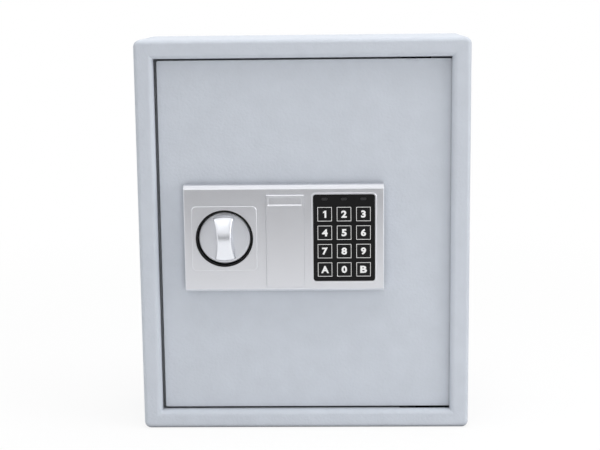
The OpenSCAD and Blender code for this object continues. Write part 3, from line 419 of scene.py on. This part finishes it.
def worked_metal(name, colour, low, high, stretch):
    """Drawn or turned metal, with fine marks along one direction."""
    mat, shader = new_material(name, Metallic=1.0)
    mottle(shader, grain(shader, 260, detail=3.0, stretch=stretch), colour, spread=0.06)
    patches(shader, grain(shader, 700, stretch=stretch), low, high)
    bumps(shader, grain(shader, 1600, stretch=stretch), height=0.012 * MM)
    return mat


def zinc_plate():
    """Zinc plating: small spangles that differ in tone and gloss."""
    mat, shader = new_material("zinc_steel", Metallic=1.0)
    mottle(shader, cells(shader, 240), ZINC, spread=0.09)
    patches(shader, grain(shader, 420), low=0.30, high=0.44)
    bumps(shader, grain(shader, 900), height=0.01 * MM)
    return mat


def wound_copper():
    """Fine enamelled wire, wound round an upright axis."""
    mat, shader = new_material("copper_coil", Metallic=0.6)
    mottle(shader, grain(shader, 300), COPPER, spread=0.15)
    patches(shader, grain(shader, 800), low=0.35, high=0.5)
    bumps(shader, grain(shader, 2600, detail=0.0, stretch=ROUND_Z), height=0.1 * MM)
    return mat


def plain_plastic(name, colour, low, high):
    """Smooth moulded plastic."""
    mat, shader = new_material(name, Specular_IOR_Level=0.5)
    mottle(shader, grain(shader, 260), colour, spread=0.05)
    patches(shader, grain(shader, 600), low, high)
    bumps(shader, grain(shader, 1500), height=0.01 * MM)
    return mat


def ribbon_cable():
    """Ridges of the wires that lie side by side."""
    mat, shader = new_material("cable_grey")
    mottle(shader, grain(shader, 700, detail=0.0, stretch=SIDE_BY_SIDE_X), CABLE_GREY, spread=0.12)
    patches(shader, grain(shader, 300), low=0.4, high=0.55)
    bumps(shader, grain(shader, 900, detail=0.0, stretch=SIDE_BY_SIDE_X), height=0.1 * MM)
    return mat


def needle_felt():
    """Matted fibres with a soft sheen."""
    mat, shader = new_material("felt", Sheen_Weight=0.35, Sheen_Roughness=0.5, Specular_IOR_Level=0.2)
    mottle(shader, grain(shader, 900, detail=4.0, stretch=FELT_TONES), FELT, spread=0.45)
    patches(shader, grain(shader, 600), low=0.85, high=0.98)
    bumps(shader, grain(shader, 1400, detail=4.0, stretch=FELT_FIBRES), height=0.5 * MM)
    return mat


def axis_value(shader, axis, low, high):
    """0 to 1 between two places along an axis of the part."""
    tree = shader.id_data
    coords = tree.nodes.new("ShaderNodeTexCoord")
    split = tree.nodes.new("ShaderNodeSeparateXYZ")
    tree.links.new(coords.outputs["Object"], split.inputs["Vector"])
    span = tree.nodes.new("ShaderNodeMapRange")
    span.inputs["From Min"].default_value = low
    span.inputs["From Max"].default_value = high
    tree.links.new(split.outputs[axis], span.inputs["Value"])
    return span.outputs["Result"]


CELL_WRAP = (0.035, 0.060, 0.115)
CELL_BAND = (0.45, 0.30, 0.10)
CELL_END = (0.55, 0.55, 0.56)
CELL_END_SHARE = 0.05
CELL_BAND_SHARE = 0.16


def wrapped_cells():
    """Plain cells: a dark wrap with a bronze band and bare metal at the ends."""
    low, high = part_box("batteries")
    mat, shader = new_material("battery", Metallic=0.4, Specular_IOR_Level=0.5)
    along = axis_value(shader, "Z", low.z, high.z)
    stops = [(0.0, CELL_END), (CELL_END_SHARE, CELL_BAND), (CELL_BAND_SHARE, CELL_WRAP),
             (1 - CELL_END_SHARE, CELL_END)]
    result = ramp(shader, along, stops, "CONSTANT")
    shader.id_data.links.new(result, shader.inputs["Base Color"])
    patches(shader, grain(shader, 400), low=0.28, high=0.38)
    bumps(shader, grain(shader, 700), height=0.01 * MM)
    return mat


PART_BLACK = (0.02, 0.02, 0.022)
BOARD_THICKNESS = 1.6 * MM
BOARD_MARGIN = 0.1 * MM


def populated_board(node):
    """Green laminate with dark parts on its back."""
    low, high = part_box(node)
    mat, shader = new_material(node, Specular_IOR_Level=0.5)
    through = axis_value(shader, "Y", low.y, high.y)
    edge = (BOARD_THICKNESS + BOARD_MARGIN) / (high.y - low.y)
    result = ramp(shader, through, [(0.0, BOARD_GREEN), (edge, PART_BLACK)], "CONSTANT")
    shader.id_data.links.new(result, shader.inputs["Base Color"])
    patches(shader, grain(shader, 500), low=0.3, high=0.45)
    bumps(shader, grain(shader, 900, detail=0.0, stretch=THROUGH_Y), height=0.03 * MM)
    return mat


# Carried-over CAD nodes: each gets its material, and softly rounded edges where a width is given
SMOOTH_ANGLE = math.radians(32)
FLAT_ANGLE = math.radians(0.4)
WELD_DISTANCE = 0.002 * MM
EDGE_SEGMENTS = 2


def round_edges(obj, width):
    """Rounds each edge that is sharper than the smooth angle."""
    bevel = obj.modifiers.new("soft_edges", "BEVEL")
    bevel.width = width
    bevel.segments = EDGE_SEGMENTS
    bevel.limit_method = "ANGLE"
    bevel.angle_limit = SMOOTH_ANGLE
    return bevel


def dress(node, mat, edge):
    """Gives a node its material, and rounds its edges where a width is given."""
    obj = NODES[node]
    mesh = obj.data
    if "custom_normal" in mesh.attributes:
        mesh.attributes.remove(mesh.attributes["custom_normal"])
    mesh.materials.clear()
    mesh.materials.append(mat)
    if not edge:
        mesh.shade_flat()
        return
    mesh.shade_smooth()
    weld = obj.modifiers.new("weld", "WELD")
    weld.merge_threshold = WELD_DISTANCE
    flat = obj.modifiers.new("flat_faces", "DECIMATE")
    flat.decimate_type = "DISSOLVE"
    flat.angle_limit = FLAT_ANGLE
    round_edges(obj, edge * MM).use_clamp_overlap = False
    normals = obj.modifiers.new("even_shading", "WEIGHTED_NORMAL")
    normals.keep_sharp = True


KEY_NAMES = "123456789a0b"


def dress_nodes():
    """Dresses every node that no new piece stands for."""
    paint = painted_steel()
    silver = satin_silver("fascia_silver", SILVER, low=0.28, high=0.33)
    black = black_moulding("black_plastic", BLACK, low=0.42, high=0.54)
    key_black = black_moulding("key_black", KEY_BLACK, low=0.50, high=0.60)
    nylon = plain_plastic("nylon", NYLON, low=0.4, high=0.5)
    lens = plain_plastic("lamp", LENS, low=0.3, high=0.4)
    red = plain_plastic("button_red", BUTTON_RED, low=0.3, high=0.4)
    bright_x = worked_metal("bright_steel_drawn", STEEL, low=0.20, high=0.32, stretch=ALONG_X)
    bright_z = worked_metal("bright_steel_turned", STEEL, low=0.20, high=0.32, stretch=ALONG_Z)
    zinc = zinc_plate()
    brass = worked_metal("brass", BRASS, low=0.22, high=0.34, stretch=EVEN)
    finishes = {
        # node: material, slot, rounding of its edges in millimetres, 0 for sharp edges and flat faces
        "front_frame": (paint, "painted_steel", 0.25),
        "body_wrap": (paint, "painted_steel", 0.25),
        "back_panel": (paint, "painted_steel", 0.3),
        "door_plate": (paint, "painted_steel", 0),
        "hinge_lugs": (paint, "painted_steel", 0.4),
        "inner_cover": (paint, "painted_steel", 0.4),
        "hinge_bracket_lower": (zinc, "zinc_steel", 0.3),
        "hinge_bracket_upper": (zinc, "zinc_steel", 0.3),
        "hinge_pin_lower": (bright_z, "bright_steel", 0.4),
        "hinge_pin_upper": (bright_z, "bright_steel", 0.4),
        "hinge_bushes": (black, "black_plastic", 0.3),
        "fascia": (silver, "fascia_silver", 0.3),
        "lock_cover": (silver, "fascia_silver", 0.25),
        "fascia_screws": (zinc, "zinc_steel", 0.3),
        "knob_ring": (black, "black_plastic", 0.25),
        "knob_spindle": (bright_x, "bright_steel", 0.4),
        "spindle_bush": (nylon, "nylon", 0.2),
        "keypad_panel": (black, "black_plastic", 0.15),
        "keypad_board": (populated_board("keypad_board"), "circuit_board", 0.1),
        "keypad_cable": (ribbon_cable(), "cable_grey", 0.1),
        "indicator_lamps": (lens, "lamp", 0.2),
        "lock_barrel": (bright_x, "bright_steel", 0.3),
        "lock_nut": (zinc, "zinc_steel", 0.4),
        "lock_plug": (brass, "brass", 0.2),
        "lock_tail": (bright_x, "bright_steel", 0.2),
        "bolt_guide": (zinc, "zinc_steel", 0.3),
        "guide_studs": (zinc, "zinc_steel", 0.3),
        "solenoid_frame": (zinc, "zinc_steel", 0.2),
        "solenoid_coil": (wound_copper(), "copper_coil", 0.3),
        "control_board": (populated_board("control_board"), "circuit_board", 0.15),
        "cover_posts": (zinc, "zinc_steel", 0.2),
        "battery_tray": (black, "black_plastic", 0.3),
        "battery_lid": (black, "black_plastic", 0.3),
        "batteries": (wrapped_cells(), "battery", 0.3),
        "drive_crank": (zinc, "zinc_steel", 0.3),
        "bolt_carriage": (zinc, "zinc_steel", 0.3),
        "locking_bolts": (bright_x, "bright_steel", 0.4),
        "bolt_screws": (zinc, "zinc_steel", 0.4),
        "plunger": (bright_z, "bright_steel", 0.3),
        "reset_button": (red, "button_red", 0.4),
    }
    finishes.update({f"key_{name}": (key_black, "key_black", 0.15) for name in KEY_NAMES})
    for node, (mat, slot, edge) in finishes.items():
        dress(node, mat, edge)


# New pieces: turns from a piece's own Z to the front and to the back, and what several of them need
TO_FRONT = Matrix.Rotation(math.pi / 2, 4, "X")
TO_BACK = Matrix.Rotation(-math.pi / 2, 4, "X")
ARC_STEP = math.radians(15)


def add_piece(name, mesh, mat, body, slot, *replaced):
    """A mesh in the row frame that rides on a body and may stand for CAD nodes."""
    mesh.materials.clear()
    mesh.materials.append(mat)
    piece = bpy.data.objects.new(name, mesh)
    bpy.context.scene.collection.objects.link(piece)
    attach(piece, body)
    if replaced:
        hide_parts(*replaced)
    return piece


def new_mesh(bm, name):
    """A mesh from a bmesh, which is freed."""
    mesh = bpy.data.meshes.new(name)
    bm.to_mesh(mesh)
    bm.free()
    return mesh


def closed_mesh(bm, name):
    """A mesh from a closed bmesh, with its faces turned outwards."""
    bmesh.ops.recalc_face_normals(bm, faces=bm.faces)
    return new_mesh(bm, name)


def revolve(bm, profile, steps):
    """A solid of revolution about Z from pairs of radius and height."""
    rings = []
    for radius, height in profile:
        if radius == 0:
            rings.append([bm.verts.new((0, 0, height))])
            continue
        ring = []
        for step in range(steps):
            angle = 2 * math.pi * step / steps
            ring.append(bm.verts.new((radius * math.cos(angle), radius * math.sin(angle), height)))
        rings.append(ring)
    for first, second in zip(rings, rings[1:]):
        for step in range(steps):
            after = (step + 1) % steps
            corners = [first[step % len(first)], first[after % len(first)],
                       second[after % len(second)], second[step % len(second)]]
            bm.faces.new(list(dict.fromkeys(corners)))


def combined(mesh, other, operation, place=(0, 0, 0)):
    """The mesh with the other one, set at a place, added to it or taken out of it."""
    body = bpy.data.objects.new("combined", mesh)
    tool = bpy.data.objects.new("combiner", other)
    tool.location = place
    for obj in (body, tool):
        bpy.context.scene.collection.objects.link(obj)
    cut = body.modifiers.new("cut", "BOOLEAN")
    cut.operation = operation
    cut.object = tool
    cut.solver = "EXACT"
    bpy.context.view_layer.update()
    result = bpy.data.meshes.new_from_object(body.evaluated_get(bpy.context.evaluated_depsgraph_get()))
    for obj in (body, tool):
        bpy.data.objects.remove(obj)
    return result


# Key legends: a white outline and a bold figure, printed on each key
KEY_FLANGE = 1.1 * MM
PRINT_HEIGHT = 0.03 * MM
PRINT_SINK = 0.02 * MM
PRINT_DEPTH = PRINT_HEIGHT + PRINT_SINK
PRINT_WELD = 0.0001 * MM
OUTLINE_MARGIN = 0.2 * MM
OUTLINE_LINE = 0.44 * MM
OUTLINE_ROUND = 0.35 * MM
FIGURE_HEIGHT = 6.6 * MM
FIGURE_BOLD = 0.042
FIGURE_EXTRUDE = 0.5
FIGURE_STEPS = 3
FIGURE_WIDEN = 1.14
LETTER_WIDEN = {"A": 1.02, "B": 1.28}
# Outline of a one, in shares of the figure's height
FIGURE_ONE = ((0.20, 0), (0.45, 0), (0.45, 1), (0.26, 1), (0, 0.82), (0, 0.62), (0.20, 0.74))
CORNER_STEPS = 6


def key_face(node):
    """Centre and side of the key cap's front, inside the hidden flange round its foot."""
    low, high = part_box(node)
    centre = (low + high) / 2
    centre.y = low.y
    return {"centre": centre, "side": high.x - low.x - 2 * KEY_FLANGE}


def rounded_square(side, radius):
    """Points round a square with round corners, anticlockwise about the origin."""
    inner = side / 2 - radius
    points = []
    for quarter in range(4):
        centre = Matrix.Rotation(quarter * math.pi / 2, 2) @ Vector((inner, inner))
        for step in range(CORNER_STEPS + 1):
            angle = (quarter + step / CORNER_STEPS) * math.pi / 2
            points.append(centre + radius * Vector((math.cos(angle), math.sin(angle))))
    return points


def add_outline(bm, side):
    """A square line with round corners, as a thin closed band."""
    inside = side - 2 * OUTLINE_LINE
    loops = []
    for depth in (0.0, PRINT_DEPTH):
        for width, radius in ((side, OUTLINE_ROUND), (inside, OUTLINE_ROUND / 2)):
            points = rounded_square(width, radius)
            loops.append([bm.verts.new((p.x, p.y, depth)) for p in points])
    low_out, low_in, high_out, high_in = loops
    for first, second in ((low_in, low_out), (low_out, high_out), (high_out, high_in), (high_in, low_in)):
        for i in range(len(first)):
            j = (i + 1) % len(first)
            bm.faces.new((first[i], first[j], second[j], second[i]))


def add_one(bm):
    """A one with a flag, which the built-in letters lack, about the origin."""
    width = max(x for x, _ in FIGURE_ONE)
    loops = []
    for depth in (0.0, PRINT_DEPTH):
        points = [(FIGURE_HEIGHT * (x - width / 2), FIGURE_HEIGHT * (y - 0.5)) for x, y in FIGURE_ONE]
        loops.append([bm.verts.new((x, y, depth)) for x, y in points])
    low, high = loops
    bm.faces.new(high)
    bm.faces.new(list(reversed(low)))
    for i in range(len(low)):
        j = (i + 1) % len(low)
        bm.faces.new((low[i], low[j], high[j], high[i]))


def add_figure(bm, label):
    """A bold upright figure about the origin."""
    if label == "1":
        add_one(bm)
        return
    text = bpy.data.curves.new("figure", "FONT")
    text.body = label
    text.offset = FIGURE_BOLD
    text.extrude = FIGURE_EXTRUDE
    text.resolution_u = FIGURE_STEPS
    carrier = bpy.data.objects.new("figure", text)
    mesh = bpy.data.meshes.new_from_object(carrier)
    bpy.data.objects.remove(carrier)
    points = [v.co for v in mesh.vertices]
    low = Vector([min(p[i] for p in points) for i in range(3)])
    high = Vector([max(p[i] for p in points) for i in range(3)])
    size = FIGURE_HEIGHT / (high.y - low.y)
    thick = PRINT_DEPTH / (high.z - low.z)
    middle = (low + high) / 2
    widen = LETTER_WIDEN.get(label, FIGURE_WIDEN)
    shrink = Matrix.Diagonal((size * widen, size, thick, 1.0))
    mesh.transform(shrink @ Matrix.Translation((-middle.x, -middle.y, -low.z)))
    bm.from_mesh(mesh)
    bpy.data.meshes.remove(mesh)


def add_key_prints():
    """One print on each key, which rides on it."""
    ink = print_ink()
    for name in KEY_NAMES:
        node = f"key_{name}"
        front = key_face(node)
        bm = bmesh.new()
        add_outline(bm, front["side"] - 2 * OUTLINE_MARGIN)
        add_figure(bm, name.upper())
        bmesh.ops.remove_doubles(bm, verts=bm.verts, dist=PRINT_WELD)
        mesh = closed_mesh(bm, f"{node}_print")
        sunk = front["centre"] + Vector((0, PRINT_SINK, 0))
        mesh.transform(Matrix.Translation(sunk) @ TO_FRONT)
        add_piece(f"{node}_print", mesh, ink, node, "key_black")


# Felt mat on the safe's floor
MAT_CELLS = (96, 24)
MAT_THICKNESS = 1.3 * MM
MAT_WAVE = 0.12 * MM
MAT_WAVE_SCALE = 38.0
MAT_EDGE = 0.5 * MM


def add_floor_mat():
    low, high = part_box("floor_mat")
    bm = bmesh.new()
    bmesh.ops.create_grid(bm, x_segments=MAT_CELLS[0], y_segments=MAT_CELLS[1], size=0.5)
    for vert in bm.verts:
        x = low.x + (vert.co.x + 0.5) * (high.x - low.x)
        y = low.y + (vert.co.y + 0.5) * (high.y - low.y)
        lift = MAT_WAVE * noise.noise(Vector((x, y, 0)) * MAT_WAVE_SCALE)
        vert.co = (x, y, high.z - MAT_WAVE + lift)
    mesh = new_mesh(bm, "felt_mat")
    mesh.shade_smooth()
    mat_piece = add_piece("felt_mat", mesh, needle_felt(), "cabinet", "felt", "floor_mat")
    thick = mat_piece.modifiers.new("thickness", "SOLIDIFY")
    thick.thickness = MAT_THICKNESS
    thick.offset = -1.0
    round_edges(mat_piece, MAT_EDGE)


# Plunger spring: a smooth helix on a mesh of its own
SPRING_WIRE = 0.8 * MM
SPRING_TURNS = 5
SPRING_STEPS = 40
SPRING_SIDES = 10


def add_plunger_spring():
    low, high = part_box("plunger_spring")
    axis = (low + high) / 2
    radius = (high.y - low.y - SPRING_WIRE) / 2
    rise = high.z - low.z - SPRING_WIRE
    bm = bmesh.new()
    rings = []
    count = SPRING_TURNS * SPRING_STEPS
    lead = math.atan2(rise, SPRING_TURNS * 2 * math.pi * radius)
    for i in range(count + 1):
        turn = 2 * math.pi * i / SPRING_STEPS
        outward = Vector((math.cos(turn), math.sin(turn), 0))
        along = Vector((-math.sin(turn), math.cos(turn), 0))
        upward = math.cos(lead) * Vector((0, 0, 1)) - math.sin(lead) * along
        centre = Vector((axis.x, axis.y, low.z + SPRING_WIRE / 2 + rise * i / count)) + radius * outward
        ring = []
        for side in range(SPRING_SIDES):
            angle = 2 * math.pi * side / SPRING_SIDES
            offset = math.cos(angle) * outward + math.sin(angle) * upward
            ring.append(bm.verts.new(centre + SPRING_WIRE / 2 * offset))
        rings.append(ring)
    for first, second in zip(rings, rings[1:]):
        for side in range(SPRING_SIDES):
            after = (side + 1) % SPRING_SIDES
            bm.faces.new((first[side], second[side], second[after], first[after]))
    bm.faces.new(rings[0])
    bm.faces.new(list(reversed(rings[-1])))
    mesh = closed_mesh(bm, "plunger_return_spring")
    mesh.shade_smooth()
    wire = worked_metal("spring_steel", STEEL, low=0.22, high=0.32, stretch=EVEN)
    spring = add_piece("plunger_return_spring", mesh, wire, "door", "bright_steel", "plunger_spring")
    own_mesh(spring)


# Screws of the inner cover: domed heads with a cross recess
SCREW_STEPS = 40
SCREW_SHANK_RADIUS = 2.0 * MM
SCREW_HEAD_RADIUS = 2 * SCREW_SHANK_RADIUS
SCREW_HEAD_HEIGHT = 2.0 * MM
SCREW_HEAD_CROWN = 0.7 * MM
SCREW_CROWN_STEPS = 6
SCREW_EDGE = 0.12 * MM
SCREW_TWISTS = (25, 90, 65, 130)
CROSS_LENGTH = 4.6 * MM
CROSS_WIDTH = 1.1 * MM
CROSS_DEPTH = 1.3 * MM
CROSS_TAPER = 0.55


def cross_cutter():
    """Two crossed wedges, wide at the top, for the recess."""
    bm = bmesh.new()
    for turn in (0, 1):
        wedge = bmesh.ops.create_cube(bm, size=1.0)["verts"]
        for vert in wedge:
            narrow = CROSS_TAPER if vert.co.z < 0 else 1.0
            x, y = vert.co.x * CROSS_LENGTH * narrow, vert.co.y * CROSS_WIDTH
            z = vert.co.z * 2 * CROSS_DEPTH
            vert.co = (y, x, z) if turn else (x, y, z)
    return new_mesh(bm, "cross_cutter")


def screw_mesh(shank_length):
    """One screw along Z, with its head's seat at the origin."""
    crown = [(SCREW_HEAD_RADIUS * math.cos(a), SCREW_HEAD_HEIGHT - SCREW_HEAD_CROWN * (1 - math.sin(a)))
             for a in (ARC_STEP * i for i in range(SCREW_CROWN_STEPS))]
    profile = [(0, -shank_length), (SCREW_SHANK_RADIUS, -shank_length), (SCREW_SHANK_RADIUS, 0),
               (SCREW_HEAD_RADIUS, 0)]
    bm = bmesh.new()
    revolve(bm, profile + crown + [(0, SCREW_HEAD_HEIGHT)], SCREW_STEPS)
    return closed_mesh(bm, "cover_screw")


def add_cover_screws():
    low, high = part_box("cover_screws")
    plain = screw_mesh(high.y - low.y - SCREW_HEAD_HEIGHT)
    single = combined(plain, cross_cutter(), "DIFFERENCE", (0, 0, SCREW_HEAD_HEIGHT))
    places = [Vector((x, high.y - SCREW_HEAD_HEIGHT, z))
              for x in (low.x + SCREW_HEAD_RADIUS, high.x - SCREW_HEAD_RADIUS)
              for z in (low.z + SCREW_HEAD_RADIUS, high.z - SCREW_HEAD_RADIUS)]
    bm = bmesh.new()
    for place, twist in zip(places, SCREW_TWISTS):
        turned = single.copy()
        turned.transform(Matrix.Translation(place) @ TO_BACK @ Matrix.Rotation(math.radians(twist), 4, "Z"))
        bm.from_mesh(turned)
        bpy.data.meshes.remove(turned)
    mesh = new_mesh(bm, "cover_screw_set")
    piece = add_piece("cover_screw_set", mesh, zinc_plate(), "door", "zinc_steel", "cover_screws")
    mesh.shade_smooth()
    round_edges(piece, SCREW_EDGE)
    piece.modifiers.new("even_shading", "WEIGHTED_NORMAL")


# Knob: a disc with a round rim and a soft bow-tie grip, which stands a little turned
DISC_STEPS = 128
DISC_RINGS = 10
DISC_THICKNESS = 3.4 * MM
DISC_RIM = 0.9 * MM
DISC_RIM_STEPS = 7
HUB_RADIUS = 7.5 * MM
BORE_STEPS = 40
BORE_RADIUS = 5.05 * MM
BORE_CAP = 4.9 * MM
GRIP_HEIGHT = 10.5 * MM
GRIP_LENGTH = 40.4 * MM
GRIP_END_WIDTH = 18.6 * MM
GRIP_WAIST_WIDTH = 13.4 * MM
GRIP_END_RISE = 1.6 * MM
GRIP_SINK = 1.0 * MM
GRIP_SLOPE = math.tan(math.radians(14))
GRIP_RIDGE = 1.3 * MM
GRIP_SHOULDER = 8.0
GRIP_END_ROUND = 10.0
GRIP_STATIONS = 72
GRIP_STEPS = 40
GRIP_TURN = math.radians(1.8)
CREASE_ANGLE = math.radians(40)


def disc_mesh(radius, back):
    """The disc and its hub along Z, with the disc's front at the origin."""
    rim = [(radius - DISC_RIM * (1 - math.cos(a)), DISC_RIM * (math.sin(a) - 1))
           for a in (ARC_STEP * i for i in range(DISC_RIM_STEPS))]
    rings = [((radius - DISC_RIM) * (1 - i / DISC_RINGS), 0) for i in range(1, DISC_RINGS)]
    profile = [(0, -back), (HUB_RADIUS, -back), (HUB_RADIUS, -DISC_THICKNESS), (radius, -DISC_THICKNESS)]
    bm = bmesh.new()
    revolve(bm, profile + rim + rings + [(0, 0)], DISC_STEPS)
    return closed_mesh(bm, "knob_disc")


def grip_section(share):
    """Points over the grip, across its length, at a share of half its length from -1 to 1."""
    half = GRIP_LENGTH / 2
    width = (GRIP_WAIST_WIDTH + (GRIP_END_WIDTH - GRIP_WAIST_WIDTH) * share ** 2) / 2
    fall = math.hypot(GRIP_RIDGE, half * share * GRIP_SLOPE) - GRIP_RIDGE
    end = (1 - abs(share) ** GRIP_END_ROUND) ** (1 / GRIP_END_ROUND)
    crest = (GRIP_HEIGHT - fall) * end - (1 - end) * GRIP_SINK / 2
    points = [(width, -GRIP_SINK)]
    for step in range(1, GRIP_STEPS):
        angle = math.pi * step / GRIP_STEPS
        across = math.copysign(abs(math.cos(angle)) ** (2 / GRIP_SHOULDER), math.cos(angle))
        points.append((width * across, crest * math.sin(angle) ** (2 / GRIP_SHOULDER)))
    points.append((-width, -GRIP_SINK))
    return [(x, share * (half - GRIP_END_RISE * (2 * x / GRIP_END_WIDTH) ** 2), z) for x, z in points]


def grip_mesh():
    """The grip along Y, rising in Z, with its foot sunk in the disc."""
    bm = bmesh.new()
    rings = []
    for i in range(GRIP_STATIONS + 1):
        share = math.sin(math.pi * (i / GRIP_STATIONS - 0.5))
        rings.append([bm.verts.new(p) for p in grip_section(share)])
    for first, second in zip(rings, rings[1:]):
        for i in range(len(first)):
            j = (i + 1) % len(first)
            bm.faces.new((first[i], first[j], second[j], second[i]))
    bm.faces.new(rings[0])
    bm.faces.new(rings[-1])
    bm.transform(Matrix.Rotation(GRIP_TURN, 4, "Z"))
    return closed_mesh(bm, "knob_grip")


def bore_mesh(back):
    """The spindle's bore, turned so that none of its corners lies on an edge of the disc."""
    bm = bmesh.new()
    start = -back - DISC_THICKNESS
    end = GRIP_HEIGHT - BORE_CAP
    revolve(bm, [(0, start), (BORE_RADIUS, start), (BORE_RADIUS, end), (0, end)], BORE_STEPS)
    bm.transform(Matrix.Rotation(math.pi / DISC_STEPS, 4, "Z"))
    return closed_mesh(bm, "knob_bore")


def add_knob():
    low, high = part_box("knob")
    back = high.y - low.y - GRIP_HEIGHT
    whole = combined(disc_mesh((high.x - low.x) / 2, back), grip_mesh(), "UNION")
    mesh = combined(whole, bore_mesh(back), "DIFFERENCE")
    centre = (low + high) / 2
    centre.y = low.y + GRIP_HEIGHT
    mesh.transform(Matrix.Translation(centre) @ TO_FRONT)
    mesh.shade_smooth()
    mesh.set_sharp_from_angle(angle=CREASE_ANGLE)
    silver = satin_silver("knob_silver", KNOB_SILVER, low=0.28, high=0.34)
    add_piece("turn_knob", mesh, silver, "knob", "knob_silver", "knob")


bpy.context.scene.view_settings.view_transform = "Standard"
add_camera()
light_world()
add_stage()
add_lamps()
dress_nodes()
add_key_prints()
add_floor_mat()
add_plunger_spring()
add_cover_screws()
add_knob()
